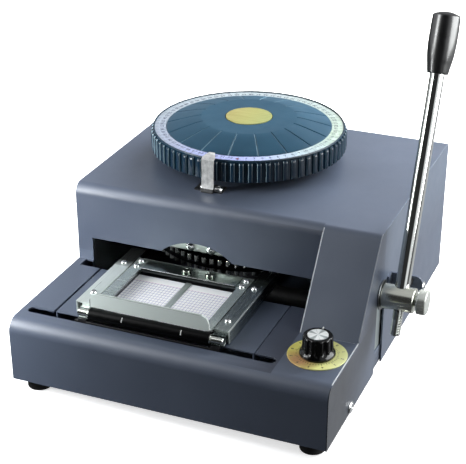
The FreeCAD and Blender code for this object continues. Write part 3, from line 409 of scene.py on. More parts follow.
# dial plastic: teal moulding, polished teeth, a softer top; painted shade darkens the gaps and the rim, the tooth
# crowns are painted darker as a painted reflection, and their corners lighter as painted highlights
M = Mat("dial_teal")
base = M.noise(16.0, 5.0, 0.6)
o = M.sep(M.mapping(loc=tuple(-v for v in P(-26.5, 266, 146))))
rad = M.math("SQRT", M.math("ADD", M.math("MULTIPLY", o[0], o[0]), M.math("MULTIPLY", o[1], o[1])))
top_ = M.remap(o[2], 0.0, 1.0, 0.0205, 0.0212)
gap_shade = M.math("MULTIPLY", M.math("GREATER_THAN", rad, 0.0922), M.remap(rad, 0.8, 0.0, 0.0936, 0.0952))
col = M.ramp(base, [(0.3, srgb(25, 64, 86)), (0.7, srgb(33, 75, 98))])
ang = M.math("ARCTAN2", o[1], o[0])
tu = M.math("ABSOLUTE", M.math("SUBTRACT", M.math("FRACT", M.math("ADD", M.math("MULTIPLY", ang, 72 / (2 * math.pi)), 72.0)), 0.5))
crown = M.math("GREATER_THAN", rad, 0.0945)
corner = M.math("SUBTRACT", 1.0, M.remap(M.math("ABSOLUTE", M.math("SUBTRACT", tu, 0.215)), 0.0, 1.0, 0.012, 0.045))
tip = M.remap(o[2], 0.0, 1.0, 0.0178, 0.0190)
# painted shade in the tooth gaps and on the rim, a darker crown as a painted reflection, and painted highlights on the
# tooth corners, brightest near the top
col = M.mix(gap_shade, col, srgb(14, 34, 48))
col = M.mix(crown, col, srgb(16, 40, 58))
col = M.mix(M.math("MULTIPLY", M.math("MULTIPLY", crown, corner), M.math("ADD", 0.42, M.math("MULTIPLY", tip, 0.5))), col, srgb(176, 204, 216))
# painted highlight on the groove walls toward the front and back, painted shade on those at the sides
sd = M.math("ABSOLUTE", M.math("SUBTRACT", M.math("FRACT", M.math("ADD", M.math("MULTIPLY", M.math("SUBTRACT", ang, math.radians(-62.0)), 18 / (2 * math.pi)), 18.5)), 0.5))
groove_light_shade = M.math("SUBTRACT", 1.0, M.remap(sd, 0.0, 1.0, 0.010, 0.034))
groove_light_shade = M.math("MULTIPLY", groove_light_shade, M.math("MULTIPLY", M.math("GREATER_THAN", rad, 0.0470), M.math("LESS_THAN", rad, 0.0805)))
fwd = M.remap(M.math("ABSOLUTE", M.math("DIVIDE", o[1], rad)), 0.0, 1.0, 0.62, 0.95)
col = M.mix(M.math("MULTIPLY", groove_light_shade, 0.45), col, M.mix(fwd, srgb(14, 36, 50), srgb(150, 184, 198)))
M.set(Base_Color=col, Roughness=M.math("ADD", M.remap(M.noise(90.0, 4.0), 0.13, 0.19, 0.3, 0.7), M.math("MULTIPLY", top_, 0.22)))
M.b.inputs["Specular IOR Level"].default_value = 0.4
M.bump(M.noise(520.0, 3.0), 0.08, 0.0003)
m_dial = M.m

# number ring: printed foil; its tint, lavender at one side of the scale and pale green at the other, is a painted
# reflection
M = Mat("number_ring_print")
o = M.sep(M.mapping(loc=tuple(-v for v in P(-26.5, 266, 0))))
ang = M.math("ARCTAN2", o[1], o[0])
f = M.remap(ang, 0.0, 1.0, -math.pi, math.pi)
col = M.ramp(f, [(0.0, srgb(164, 176, 188)), (0.14, srgb(168, 178, 200)), (0.22, srgb(168, 178, 226)), (0.30, srgb(170, 180, 236)),
                 (0.40, srgb(184, 204, 214)), (0.52, srgb(190, 210, 192)), (0.75, srgb(184, 198, 202)),
                 (1.0, srgb(164, 176, 188))])
col = M.mix(M.remap(M.noise(40.0, 4.0), 0.0, 0.2, 0.4, 0.7), col, srgb(184, 190, 204))
M.set(Base_Color=col, Metallic=0.15, Roughness=M.remap(M.noise(70.0), 0.22, 0.32, 0.3, 0.7))
m_ring = M.m

# gold anodised plates
def gold(name, centre, radius, stops, spot=None):
    M = Mat(name)
    o = M.sep(M.mapping(loc=tuple(-v for v in P(*centre))))
    st = M.noise(1.0, 5.0, 0.6, M.mapping((40.0, 1800.0, 40.0)))
    col = M.ramp(M.remap(o[0], 0.0, 1.0, -radius / 1000.0, radius / 1000.0), stops)
    if spot:
        sx_, sy_, sr = spot
        dx = M.math("SUBTRACT", o[0], sx_ / 1000.0)
        dy = M.math("SUBTRACT", o[1], sy_ / 1000.0)
        d = M.math("SQRT", M.math("ADD", M.math("MULTIPLY", dx, dx), M.math("MULTIPLY", dy, dy)))
        col = M.mix(M.remap(d, 0.85, 0.0, sr * 0.25 / 1000.0, sr / 1000.0), col, srgb(214, 134, 96))
    col = M.mix(M.remap(st, 0.0, 0.30, 0.3, 0.75), col, srgb(250, 248, 190))
    M.set(Base_Color=col, Metallic=0.18, Roughness=M.remap(st, 0.30, 0.40, 0.3, 0.7))
    M.bump(st, 0.05, 0.0001)
    return M.m


m_gold_knob = gold("gold_scale", (122.8, 49.3, 60), 26.0,
                   [(0.0, srgb(246, 234, 104)), (0.45, srgb(250, 246, 136)), (1.0, srgb(246, 250, 184))], (-11.0, -15.0, 19.0))
m_gold_dial = gold("gold_label", (-26.5, 266, 60), 23.0,
                   [(0.0, srgb(150, 138, 72)), (0.5, srgb(146, 144, 70)), (1.0, srgb(140, 150, 84))])

# printed grid, fine lines with a plain band at the rear edge
M = Mat("grid_print")
o = M.sep(M.mapping(loc=tuple(-v for v in P(-73.4, 40.0, 0))))
pitch, pitch_y = 0.0031, 0.0043


def gridline(axis, w, step):
    fr = M.math("FRACT", M.math("DIVIDE", axis, step))
    d = M.math("ABSOLUTE", M.math("SUBTRACT", fr, 0.5))
    return M.math("GREATER_THAN", d, 0.5 - w)


lines = M.math("MAXIMUM", gridline(o[0], 0.09, pitch), gridline(o[1], 0.085, pitch_y))
plain = M.math("LESS_THAN", o[1], 0.0665)
mask = M.math("MULTIPLY", lines, plain)
head = M.math("MULTIPLY", M.math("GREATER_THAN", o[1], 0.0655), M.math("LESS_THAN", o[1], 0.0665))
col = M.mix(M.math("MULTIPLY", mask, 0.85), srgb(250, 251, 254), srgb(158, 150, 176))
col = M.mix(M.math("MULTIPLY", head, 0.45), col, srgb(214, 160, 178))
col = M.mix(M.remap(M.noise(30.0), 0.0, 0.18, 0.4, 0.7), col, srgb(228, 234, 240))
M.set(Base_Color=col, Roughness=M.remap(M.noise(60.0), 0.3, 0.42, 0.3, 0.7))
# painted light: a faint emission lightens the whole panel
M.b.inputs["Emission Color"].default_value = (0.9, 0.95, 1.0, 1)
M.b.inputs["Emission Strength"].default_value = 0.10
m_grid = M.m

# spun cap: fine turned rings and a radial anisotropic sheen; the X-shaped pattern of light and dark bands is a painted
# reflection
M = Mat("spun_cap")
o = M.sep(M.mapping(loc=tuple(-v for v in P(122.8, 49.3, 0))))
rad = M.math("SQRT", M.math("ADD", M.math("MULTIPLY", o[0], o[0]), M.math("MULTIPLY", o[1], o[1])))
rings = M.noise(1.0, 4.0, 0.7)
rn = M.t.nodes.new("ShaderNodeTexNoise")
rn.noise_dimensions = "1D"
rn.inputs["Scale"].default_value = 5200.0
rn.inputs["Detail"].default_value = 2.0
M.link(rad, rn.inputs["W"])
ang = M.math("ARCTAN2", o[1], o[0])
painted_fan_reflection = M.math("ABSOLUTE", M.math("COSINE", M.math("ADD", M.math("MULTIPLY", ang, 2.0), 0.55)))
col = M.ramp(painted_fan_reflection, [(0.0, srgb(214, 220, 218)), (0.25, srgb(250, 252, 252)), (0.80, srgb(246, 250, 250)), (0.93, srgb(190, 198, 198)), (1.0, srgb(140, 148, 148))])
col = M.mix(M.remap(rn.outputs["Fac"], 0.0, 0.25, 0.35, 0.7), col, srgb(255, 255, 255))
M.set(Base_Color=col, Metallic=0.22, Roughness=0.30)
M.b.inputs["Anisotropic"].default_value = 0.5
tg = M.t.nodes.new("ShaderNodeTangent")
tg.direction_type = "RADIAL"
tg.axis = "Z"
M.link(tg.outputs[0], M.b.inputs["Tangent"])
M.bump(rn.outputs["Fac"], 0.08, 0.0001)
m_cap = M.m


# --------------------------------------------------------------- mesh tools
def new_object(name, bm, mat, smooth=True, body=None, replaces=(), bevel=None, angle=35):
    me = bpy.data.meshes.new(name)
    bmesh.ops.recalc_face_normals(bm, faces=bm.faces)
    for fc in bm.faces:
        fc.smooth = smooth
    if smooth:
        lim = math.radians(angle)
        for e in bm.edges:
            if len(e.link_faces) == 2 and e.calc_face_angle(0.0) > lim:
                e.smooth = False
    bm.to_mesh(me)
    bm.free()
    ob = bpy.data.objects.new(name, me)
    scene.collection.objects.link(ob)
    for mm in (mat if isinstance(mat, (list, tuple)) else [mat]):
        me.materials.append(mm)
    if bevel:
        mod = ob.modifiers.new("bevel", "BEVEL")
        mod.width = bevel / 1000.0
        mod.segments = 3
        mod.limit_method = "ANGLE"
        mod.angle_limit = math.radians(38)
        mod.harden_normals = True
        ob.modifiers.new("normals", "WEIGHTED_NORMAL").keep_sharp = False
    if body:
        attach(ob, body)
    if replaces:
        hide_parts(*replaces)
    return ob


def lathe(bm, profile, origin, axis_m=None, segs=96, closed=False):
    """Turns (r, z) points in mm round a local +Z at origin. Returns its vertices."""
    M3 = axis_m or Matrix.Identity(3)
    rows = []
    for (r, z) in profile:
        if r < 1e-6:
            v = bm.verts.new(P(*origin) + M3 @ Vector((0, 0, z)) / 1000.0)
            rows.append([v])
        else:
            rows.append([bm.verts.new(P(*origin) + M3 @ Vector((r * math.cos(2 * math.pi * k / segs),
                                                                 r * math.sin(2 * math.pi * k / segs), z)) / 1000.0)
                         for k in range(segs)])
    pairs = list(zip(rows, rows[1:]))
    if closed:
        pairs.append((rows[-1], rows[0]))
    for a, b in pairs:
        for k in range(segs):
            q = (k + 1) % segs
            if len(a) == 1 and len(b) == 1:
                continue
            if len(a) == 1:
                bm.faces.new((a[0], b[k], b[q]))
            elif len(b) == 1:
                bm.faces.new((a[k], b[0], a[q]))
            else:
                bm.faces.new((a[k], b[k], b[q], a[q]))
    return rows


def spline(pts, n=6):
    """Catmull-Rom through (r, z) points."""
    out = []
    for i in range(len(pts) - 1):
        p0 = pts[max(i - 1, 0)]
        p1, p2 = pts[i], pts[i + 1]
        p3 = pts[min(i + 2, len(pts) - 1)]
        for k in range(n):
            t = k / n
            out.append(tuple(0.5 * ((2 * p1[j]) + (-p0[j] + p2[j]) * t + (2 * p0[j] - 5 * p1[j] + 4 * p2[j] - p3[j]) * t * t
                                    + (-p0[j] + 3 * p1[j] - 3 * p2[j] + p3[j]) * t ** 3) for j in (0, 1)))
    out.append(pts[-1])
    return out


def block(bm, x0, x1, y0, y1, z0, z1, R=None, at=None):
    """A box in mm; R and at place it in a turned local frame."""
    vs = []
    for x in (x0, x1):
        for y in (y0, y1):
            for z in (z0, z1):
                if R is None:
                    vs.append(bm.verts.new(P(x, y, z)))
                else:
                    vs.append(bm.verts.new(P(*at) + R @ Vector((x, y, z)) / 1000.0))
    for f in ((0, 1, 3, 2), (4, 6, 7, 5), (0, 4, 5, 1), (2, 3, 7, 6), (0, 2, 6, 4), (1, 5, 7, 3)):
        bm.faces.new([vs[i] for i in f])
    return vs


def join_mesh(bm, me, mat4):
    base = len(bm.verts)
    bm.verts.ensure_lookup_table()
    vs = [bm.verts.new(mat4 @ v.co) for v in me.vertices]
    for p in me.polygons:
        try:
            bm.faces.new([vs[i] for i in p.vertices])
        except ValueError:
            pass
    return vs


def bake(ob):
    """The object's mesh with its modifiers applied."""
    bpy.context.view_layer.update()
    dg = bpy.context.evaluated_depsgraph_get()
    me = bpy.data.meshes.new_from_object(ob.evaluated_get(dg))
    return me


def temp(bm, name="temp"):
    me = bpy.data.meshes.new(name)
    bmesh.ops.recalc_face_normals(bm, faces=bm.faces)
    bm.to_mesh(me)
    bm.free()
    ob = bpy.data.objects.new(name, me)
    scene.collection.objects.link(ob)
    return ob


def boolean(a, b, op="DIFFERENCE"):
    mod = a.modifiers.new("bool", "BOOLEAN")
    mod.operation = op
    mod.solver = "EXACT"
    mod.object = b
    me = bake(a)
    for o in (a, b):
        bpy.data.objects.remove(o)
    return me


# ------------------------------------------------- materials on the CAD nodes
def finish_node(name, mat, width=0.35, segs=2, edge=None, angle=40):
    ob = NODES[name]
    me = ob.data
    me.materials.clear()
    me.materials.append(mat)
    if edge:
        me.materials.append(edge)
    cn = me.attributes.get("custom_normal")
    if cn:
        me.attributes.remove(cn)
    for a in ("sharp_edge", "sharp_face"):
        at = me.attributes.get(a)
        if at:
            me.attributes.remove(at)
    w = ob.modifiers.new("weld", "WELD")
    w.merge_threshold = 0.000005
    if width:
        b = ob.modifiers.new("bevel", "BEVEL")
        b.width = width / 1000.0
        b.segments = segs
        b.limit_method = "ANGLE"
        b.angle_limit = math.radians(angle)
        b.harden_normals = True
        b.use_clamp_overlap = True
        # the bevel faces take the second material: on the cover and stop bracket a painted highlight along the edges
        if edge:
            b.material = 1
    if name == "rear_panel":
        me.shade_flat()
        return ob
    n = ob.modifiers.new("normals", "WEIGHTED_NORMAL")
    n.weight = 100
    n.keep_sharp = False
    return ob


looks = {
    "top_cover": (m_cover, 0.7, 3, m_cover_edge_highlight), "deck_center_panel": (m_paint, 0.5, 2, None),
    "base_pan": (m_paint, 0.4, 2, None), "rear_panel": (m_paint, 0, 1, None),
    "rubber_feet": (m_rubber, 1.2, 4, None),
    "rear_panel_screws": (m_screw, 0.6, 3, None), "foot_screws": (m_screw, 0.4, 2, None),
    "left_frame_plate": (m_frame, 0.3, 1, None), "right_frame_plate": (m_frame, 0.3, 1, None),
    "frame_tie_bars": (m_frame, 0.4, 1, None), "ram_guide_bar": (m_ram, 0.5, 2, None),
    "ram_guide_screws": (m_screw, 0.4, 2, None), "spindle_bridge": (m_cast, 0.6, 2, None),
    "spindle_lower_bearing": (m_cast, 0.6, 2, None), "index_detent": (m_screw, 0.3, 1, None),
    "guide_rails": (m_chrome, 0.4, 2, None), "rail_posts": (m_alu, 0.5, 2, None),
    "arm_pivot_shafts": (m_tool, 0.3, 1, None), "lever_bearing_block": (m_frame, 0.4, 2, None),
    "lever_return_spring": (m_tool, 0, 1, None), "pointer_bracket": (m_zinc_z, 0.35, 3, None),
    "lever_stop_bracket": (m_paint, 0.4, 2, m_bracket_edge_highlight), "lever_stop_bumper": (m_rubber, 0.3, 2, None),
    "depth_scale_plate": (m_gold_knob, 0.2, 2, None), "adjuster_housing": (m_alu, 0.4, 2, None),
    "number_ring": (m_ring, 0, 1, None), "dial_center_plate": (m_gold_dial, 0.3, 2, None),
    "dial_spindle": (m_tool, 0.3, 1, None), "index_wheel": (m_tool, 0.2, 1, None),
    "upper_type_wheel": (m_wheel, 0.35, 2, None), "lower_type_wheel": (m_wheel, 0.35, 2, None),
    "lever_shaft": (m_tool, 0.4, 2, None), "press_cam": (m_tool, 0.4, 2, None),
    "upper_press_arm": (m_cast, 0.5, 2, None), "lower_press_arm": (m_arm_painted_shade, 0.5, 2, None),
    "knob_cap": (m_cap, 0.2, 2, None), "depth_spindle": (m_tool, 0.2, 1, None),
    "carriage_side_left": (m_rail_l, 0.3, 2, None), "carriage_side_right": (m_rail_r, 0.3, 2, None),
    "carriage_bed": (m_black, 0.4, 2, None), "grid_panels": (m_grid, 0.25, 2, None),
    "grid_divider": (m_divider, 0.3, 2, None),
    "front_slide_block": (m_black, 0.4, 2, None), "rear_slide_block": (m_alu, 0.4, 2, None),
    "spacing_rack": (m_tool, 0.15, 1, None), "holder_frame": (m_holder, 0.35, 3, None),
    "holder_runners": (m_alu, 0.3, 2, None), "card_clamp_bar": (m_clamp, 0.3, 2, None),
}
for nd, (mt, wd, sg, ed) in looks.items():
    finish_node(nd, mt, wd, sg, ed)

# -------------------------------------------------------------------- dial
DX, DY, DZ = -26.5, 266.0, 146.0
TEETH, SECT = 72, 18
FIRST = math.radians(-62.0)
PER = 24
n_ang = TEETH * PER
angs = [2 * math.pi * k / n_ang for k in range(n_ang)]
step_angles = [(FIRST + math.radians(20) * k) % (2 * math.pi) for k in range(SECT)]
for s in step_angles:
    angs += [(s + d) % (2 * math.pi) for d in (-0.0150, -0.0130, -0.0060, 0.0, 0.0060, 0.0130, 0.0150)]
angs = sorted(set(round(a, 6) for a in angs))


def rib(a):
    """0 in the gaps, 1 on the crown of each side tooth, which is dished a little."""
    u = ((a / (2 * math.pi) * TEETH) % 1.0) - 0.5
    q = abs(u) / 0.26
    if q >= 1:
        return 0.0
    return min(1.0, (1 - q ** 4.0) ** 0.5) - 0.05 * max(0.0, 1 - (q / 0.7) ** 2)


def groove(a):
    """1 on the floor of the radial V grooves, 0 on the sectors between them."""
    d = (a - FIRST + math.radians(10)) % math.radians(20) - math.radians(10)
    return max(0.0, 1.0 - abs(d) / 0.0135)


rows_def = []          # (r, z, rib share, sector share)
for r, z in ((14, 0.0), (14, 14), (84, 14), (88, 2), (92.6, 0.25)):
    rows_def.append((r, z, 0, 0))
for z, k in ((0.5, 0.0), (0.9, 0.55), (1.5, 0.9), (2.3, 1.0), (10.0, 1.0), (17.6, 1.0), (18.6, 0.93), (19.4, 0.72), (19.9, 0.35), (20.1, 0.0)):
    rows_def.append((93.4, z, k, 0))
for r, z in ((93.9, 21.0), (93.85, 21.9), (93.5, 22.4), (92.9, 22.45), (92.5, 22.1), (92.4, 20.6), (81.05, 20.6), (81.0, 21.4)):
    rows_def.append((r, z, 0, 0))
for r, z, s in ((80.6, 21.9, 0.35), (79.8, 22.3, 1.0), (72, 24.5, 1.0), (63, 26.9, 1.0), (54, 29.2, 1.0), (47.6, 30.35, 1.0),
                (46.9, 30.38, 0.6), (46.2, 30.4, 0.0), (44.2, 30.4, 0), (34, 30.4, 0), (23.3, 30.4, 0), (23.1, 29.4, 0)):
    rows_def.append((r, z, 0, s))
bm = bmesh.new()
rows = []
for (r, z, kr, ks) in rows_def:
    row = []
    for a in angs:
        rr = r + 2.8 * kr * rib(a)
        zz = z - 0.62 * ks * groove(a)
        row.append(bm.verts.new(P(DX + rr * math.cos(a), DY + rr * math.sin(a), DZ + zz)))
    rows.append(row)
for a, b in zip(rows, rows[1:]):
    for k in range(len(angs)):
        q = (k + 1) % len(angs)
        bm.faces.new((a[k], a[q], b[q], b[k]))
new_object("dial_wheel_body", bm, m_dial, body="dial", replaces=["dial_wheel"], angle=40)


# numbers and ticks on the ring, one per tooth
def text_mesh(s, size_mm):
    cu = bpy.data.curves.new("txt", "FONT")
    cu.body = s
    cu.size = size_mm / 1000.0
    cu.align_x = "CENTER"
    cu.align_y = "CENTER"
    cu.extrude = 0.00003
    cu.resolution_u = 3
    ob = bpy.data.objects.new("txt", cu)
    scene.collection.objects.link(ob)
    me = bake(ob)
    bpy.data.objects.remove(ob)
    return me


bm = bmesh.new()
glyphs = {}
ring_top = DZ + 21.5
for k in range(TEETH):
    a = math.radians(-75.0) + 2 * math.pi * k / TEETH
    s = str(k + 1)
    if s not in glyphs:
        glyphs[s] = text_mesh(s, 5.2)
    R = Matrix.Rotation(a + math.pi / 2, 4, "Z")
    loc = Matrix.Translation(P(DX + 85.4 * math.cos(a), DY + 85.4 * math.sin(a), ring_top + 0.02))
    join_mesh(bm, glyphs[s], loc @ R)
    Rt = Matrix.Rotation(a, 3, "Z")
    block(bm, 88.6, 91.4, -0.16, 0.16, -0.02, 0.05, Rt, (DX, DY, ring_top))
new_object("ring_numbers", bm, m_ink, smooth=False, body="dial")
bm = bmesh.new()
a = math.radians(-75.4)
lathe(bm, [(0, 0.12), (1.5, 0.12), (1.7, 0.0)], (DX + 87 * math.cos(a), DY + 87 * math.sin(a), ring_top), segs=24)
new_object("ring_red_dot", bm, m_red, body="dial")
# thin border ring on the plain gold centre plate
bm = bmesh.new()
lathe(bm, [(20.9, 0.0), (21.0, 0.12), (21.6, 0.12), (21.7, 0.0)], (DX, DY, DZ + 30.76), segs=128, closed=True)
new_object("centre_plate_border", bm, m_gold_dial, body="dial")


# ------------------------------------------------------------------- screws
def phillips(r=3.1, h=2.2, wide=1.0):
    """Pan-head screw, head only, seat at z 0, cross recess cut in its dome."""
    bm = bmesh.new()
    prof = [(0, h), (r * 0.35, h * 0.985), (r * 0.62, h * 0.9), (r * 0.82, h * 0.72), (r * 0.95, h * 0.45), (r, h * 0.15), (r, 0), (0, 0)]
    rows_ = []
    segs = 32
    for (q, z) in prof:
        if q == 0:
            rows_.append([bm.verts.new((0, 0, z / 1000))])
        else:
            rows_.append([bm.verts.new((q * math.cos(2 * math.pi * k / segs) / 1000, q * math.sin(2 * math.pi * k / segs) / 1000, z / 1000))
                          for k in range(segs)])
    for a, b in zip(rows_, rows_[1:]):
        for k in range(segs):
            q = (k + 1) % segs
            if len(a) == 1:
                bm.faces.new((a[0], b[k], b[q]))
            elif len(b) == 1:
                bm.faces.new((a[k], b[0], a[q]))
            else:
                bm.faces.new((a[k], b[k], b[q], a[q]))
    head = temp(bm)
    bm = bmesh.new()
    for ang in (0, math.pi / 2):
        w0, w1, l0, l1 = 0.50 * wide, 0.36 * wide, r * 0.68, r * 0.24
        vs = []
        for z, w, l in ((h + 0.5, w0, l0), (h - 1.35, w1, l1)):
            for sx, sy in ((-1, -1), (1, -1), (1, 1), (-1, 1)):
                x, y = sx * l, sy * w
                vs.append(bm.verts.new(((x * math.cos(ang) - y * math.sin(ang)) / 1000, (x * math.sin(ang) + y * math.cos(ang)) / 1000, z / 1000)))
        for f in ((3, 2, 1, 0), (4, 5, 6, 7), (0, 1, 5, 4), (1, 2, 6, 5), (2, 3, 7, 6), (3, 0, 4, 7)):
            bm.faces.new([vs[i] for i in f])
    # two crossing wedges: join them first
    me0 = bpy.data.meshes.new("wedge")
    bmesh.ops.recalc_face_normals(bm, faces=bm.faces)
    bm.to_mesh(me0)
    bm.free()
    tool = bpy.data.objects.new("wedge", me0)
    scene.collection.objects.link(tool)
    mod = head.modifiers.new("bool", "BOOLEAN")
    mod.operation = "DIFFERENCE"
    mod.solver = "EXACT"
    mod.use_self = True
    mod.object = tool
    me = bake(head)
    bpy.data.objects.remove(head)
    bpy.data.objects.remove(tool)
    return me


pan = phillips()
big_pan = phillips(5.8, 2.45, 1.7)


def screw_set(name, pts, body, node, me=pan, scale=1.0, axis="z", mat=m_screw):
    bm = bmesh.new()
    for i, pt in enumerate(pts):
        x, y, z = pt[:3]
        k_ = pt[3] if len(pt) > 3 else scale
        spin = Matrix.Rotation(rng.uniform(0, math.pi), 4, "Z")
        tilt = {"z": Matrix.Identity(4), "x": Matrix.Rotation(math.pi / 2, 4, "Y"), "-x": Matrix.Rotation(-math.pi / 2, 4, "Y"),
                "y": Matrix.Rotation(-math.pi / 2, 4, "X"), "-y": Matrix.Rotation(math.pi / 2, 4, "X")}[axis if isinstance(axis, str) else axis[i]]
        join_mesh(bm, me, Matrix.Translation(P(x, y, z)) @ tilt @ spin @ Matrix.Scale(k_, 4))
    return new_object(name, bm, mat, body=body, replaces=[node], angle=30)


screw_set("carriage_pan_screws", [(-93.2, 117.7, 72.9), (-92.6, 55.3, 72.9), (39.6, 115.4, 72.9), (39.6, 52.6, 72.9)],
          "carriage", "carriage_screws")
holder = [(-79.6, 127.2, 72.9), (-79.1, 116.4, 72.9), (27.2, 126.7, 72.9), (27.3, 115.3, 72.9)]
screw_set("holder_pan_screws", holder, "card_holder", "holder_screws")
bm = bmesh.new()
for x in (-30.3, -6.8):
    lathe(bm, [(0, 2.9), (3.0, 2.85), (3.9, 2.5), (4.3, 1.9), (4.4, 1.0), (4.4, 0.3), (4.1, 0.0), (0, 0.0)], (x, 121.0, 74.1), segs=40)
new_object("clamp_buttons", bm, m_button, body="card_holder")
screw_set("pointer_pan_screws", [(-34.4, 170.6, 139.1, 0.98), (-18.4, 170.0, 139.1, 1.32)], "chassis", "pointer_screws")
screw_set("ram_pan_screws", [(-37.2, 146.0, 87.8, 1.46), (-16.3, 146.0, 87.7, 1.46)], "chassis", "ram_guide_screws", axis="-y")

side_ys = (62.0, 300.0)
screw_set("cover_side_pan_screws", [(s_ * 150.0, y_, 6.3) for y_ in side_ys for s_ in (1, -1)], "chassis", "cover_side_screws",
          me=big_pan, axis=["x" if s_ > 0 else "-x" for y_ in side_ys for s_ in (1, -1)])

# ground collars round the punches of both type wheels
bm = bmesh.new()
for k in range(TEETH):
    a = 2 * math.pi * k / TEETH
    c = (DX + 95 * math.cos(a), DY + 95 * math.sin(a), 0)
    lathe(bm, [(1.72, 50.9), (2.05, 51.0), (2.3, 51.4), (2.3, 55.9), (1.72, 55.9)], c, segs=20, closed=True)
    lathe(bm, [(1.72, 60.05), (2.3, 60.05), (2.3, 64.4), (2.0, 64.9), (1.72, 65.0)], c, segs=20, closed=True)
# the lower collars carry the lighter steel as a painted highlight
new_object("lower_punch_collars", bm, m_pin, body="dial", angle=30)
bm = bmesh.new()
for k in range(TEETH):
    a = 2 * math.pi * k / TEETH
    c = (DX + 95 * math.cos(a), DY + 95 * math.sin(a), 0)
    lathe(bm, [(1.72, 69.3), (2.0, 69.4), (2.3, 69.8), (2.3, 73.9), (1.72, 73.9)], c, segs=20, closed=True)
new_object("upper_punch_collars", bm, m_tool, body="dial", angle=30)

# ------------------------------------------------------------------- lever
LY, LZ, LX = 143.0, 76.5, 167.75
lean = math.radians(20.37)
RL = Matrix.Rotation(-lean, 3, "X") @ Matrix.Rotation(math.radians(0.48), 3, "Y")
bm = bmesh.new()
tail = [(0, -34), (3.6, -34), (4.4, -33.2)]
for k in range(15):
    z_ = -32.6 + 1.5 * k
    tail += [(4.9, z_), (4.9, z_ + 0.35), (4.25, z_ + 0.75), (4.25, z_ + 1.05)]
lathe(bm, tail + [(4.9, -9.6), (4.9, -9.0), (6.0, -8.0), (6.5, -7.5)] + [(6.5, z) for z in (0, 40, 90, 140, 190, 205)] + [(0, 205)],
      (LX, LY, LZ), RL, 96)
new_object("lever_rod_bar", bm, m_rod, body="lever", replaces=["lever_rod"], angle=30)
grip = [(6.6, 198.5), (8.6, 198.55), (9.2, 198.9), (9.55, 200.2), (10.6, 207.0), (11.3, 211.0), (12.0, 217.0), (12.42, 223.0),
        (12.5, 231.0), (12.4, 240.0), (12.2, 247.0), (12.0, 248.2), (11.3, 249.0), (8.4, 250.4), (4.2, 251.5), (1.5, 251.85)]
bm = bmesh.new()
lathe(bm, [(6.55, 204)] + spline(grip, 5) + [(0, 251.9)], (LX, LY, LZ), RL, 96)
new_object("lever_grip_moulding", bm, m_gloss, body="lever", replaces=["lever_grip"], angle=60)
RX = Matrix.Rotation(math.pi / 2, 3, "Y")
bm = bmesh.new()
lathe(bm, [(0, 1.3), (10.2, 1.3), (11.0, 1.6), (11.45, 2.2), (11.5, 3.0), (11.5, 29.2), (11.3, 30.0), (10.7, 30.6), (10.0, 30.8), (0, 30.8)],
      (150.4, LY, LZ), RX, 128)
hub = temp(bm)
bm = bmesh.new()
lathe(bm, [(0, -20), (6.9, -20), (6.9, 20), (0, 20)], (LX, LY, LZ), RL, 96)
tool = temp(bm)
me = boolean(hub, tool)
bm = bmesh.new()
bm.from_mesh(me)
new_object("lever_hub_body", bm, m_nickel, body="lever", replaces=["lever_hub"], bevel=0.35)
bm = bmesh.new()
knob = [(0, 174.7), (3.9, 174.7), (3.9, 181.5), (5.1, 181.6), (5.1, 183.4), (9.6, 183.45), (10.8, 183.9), (11.3, 184.8),
        (11.3, 190.9), (10.9, 191.8), (10.0, 192.4), (9.2, 192.5), (0, 192.5)]
lathe(bm, knob, (0, LY, LZ), RX, 96)
new_object("clamp_knob_body", bm, m_nickel_l, body="clamp_knob", replaces=["lever_clamp_knob"], bevel=None, angle=28)
# washer between hub and side panel
bm = bmesh.new()
lathe(bm, [(9.0, 0.0), (13.4, 0.0), (13.8, 0.25), (13.8, 1.0), (13.5, 1.25), (9.0, 1.25)], (150.2, LY, LZ), RX, 96, closed=True)
new_object("hub_washer", bm, m_tool, body="lever")

# -------------------------------------------------------------- depth knob
KX, KY, KZ = 122.8, 49.3, 61.6
FL = 12
bm = bmesh.new()
na = FL * 16
defs = [(3.0, 0.0, 0), (15.2, 0.0, 0), (15.6, 0.3, 0), (15.7, 0.9, 0), (15.5, 2.0, 0), (14.9, 3.1, 0), (14.2, 4.0, 0.1), (13.9, 4.8, 0.6), (13.6, 5.6, 1.0),
        (13.1, 15.8, 1.0), (13.0, 16.8, 0.9), (12.7, 17.6, 0.6), (12.3, 18.15, 0.3), (11.8, 18.4, 0), (9.7, 18.4, 0), (9.2, 18.2, 0), (9.05, 17.6, 0), (3.0, 17.6, 0)]
rows = []
for (r, z, kf) in defs:
    row = []
    for k in range(na):
        a = 2 * math.pi * k / na
        u = abs(((k / 16.0) % 1.0) - 0.5) * 2
        rr = r - 0.9 * kf * (max(0.0, 1 - (u / 0.66) ** 2.4)) if u < 0.66 else r
        row.append(bm.verts.new(P(KX + rr * math.cos(a), KY + rr * math.sin(a), KZ + z)))
    rows.append(row)
for a, b in zip(rows, rows[1:] + rows[:1]):
    for k in range(na):
        q = (k + 1) % na
        bm.faces.new((a[k], a[q], b[q], b[k]))
new_object("depth_knob_body", bm, m_knob, body="depth_control", replaces=["depth_knob"], angle=45)
bm = bmesh.new()
block(bm, KX + 0.2, KX + 1.2, KY + 10.0, KY + 12.7, KZ + 17.9, KZ + 19.3)
new_object("knob_pointer_line", bm, m_white, smooth=False, body="depth_control")
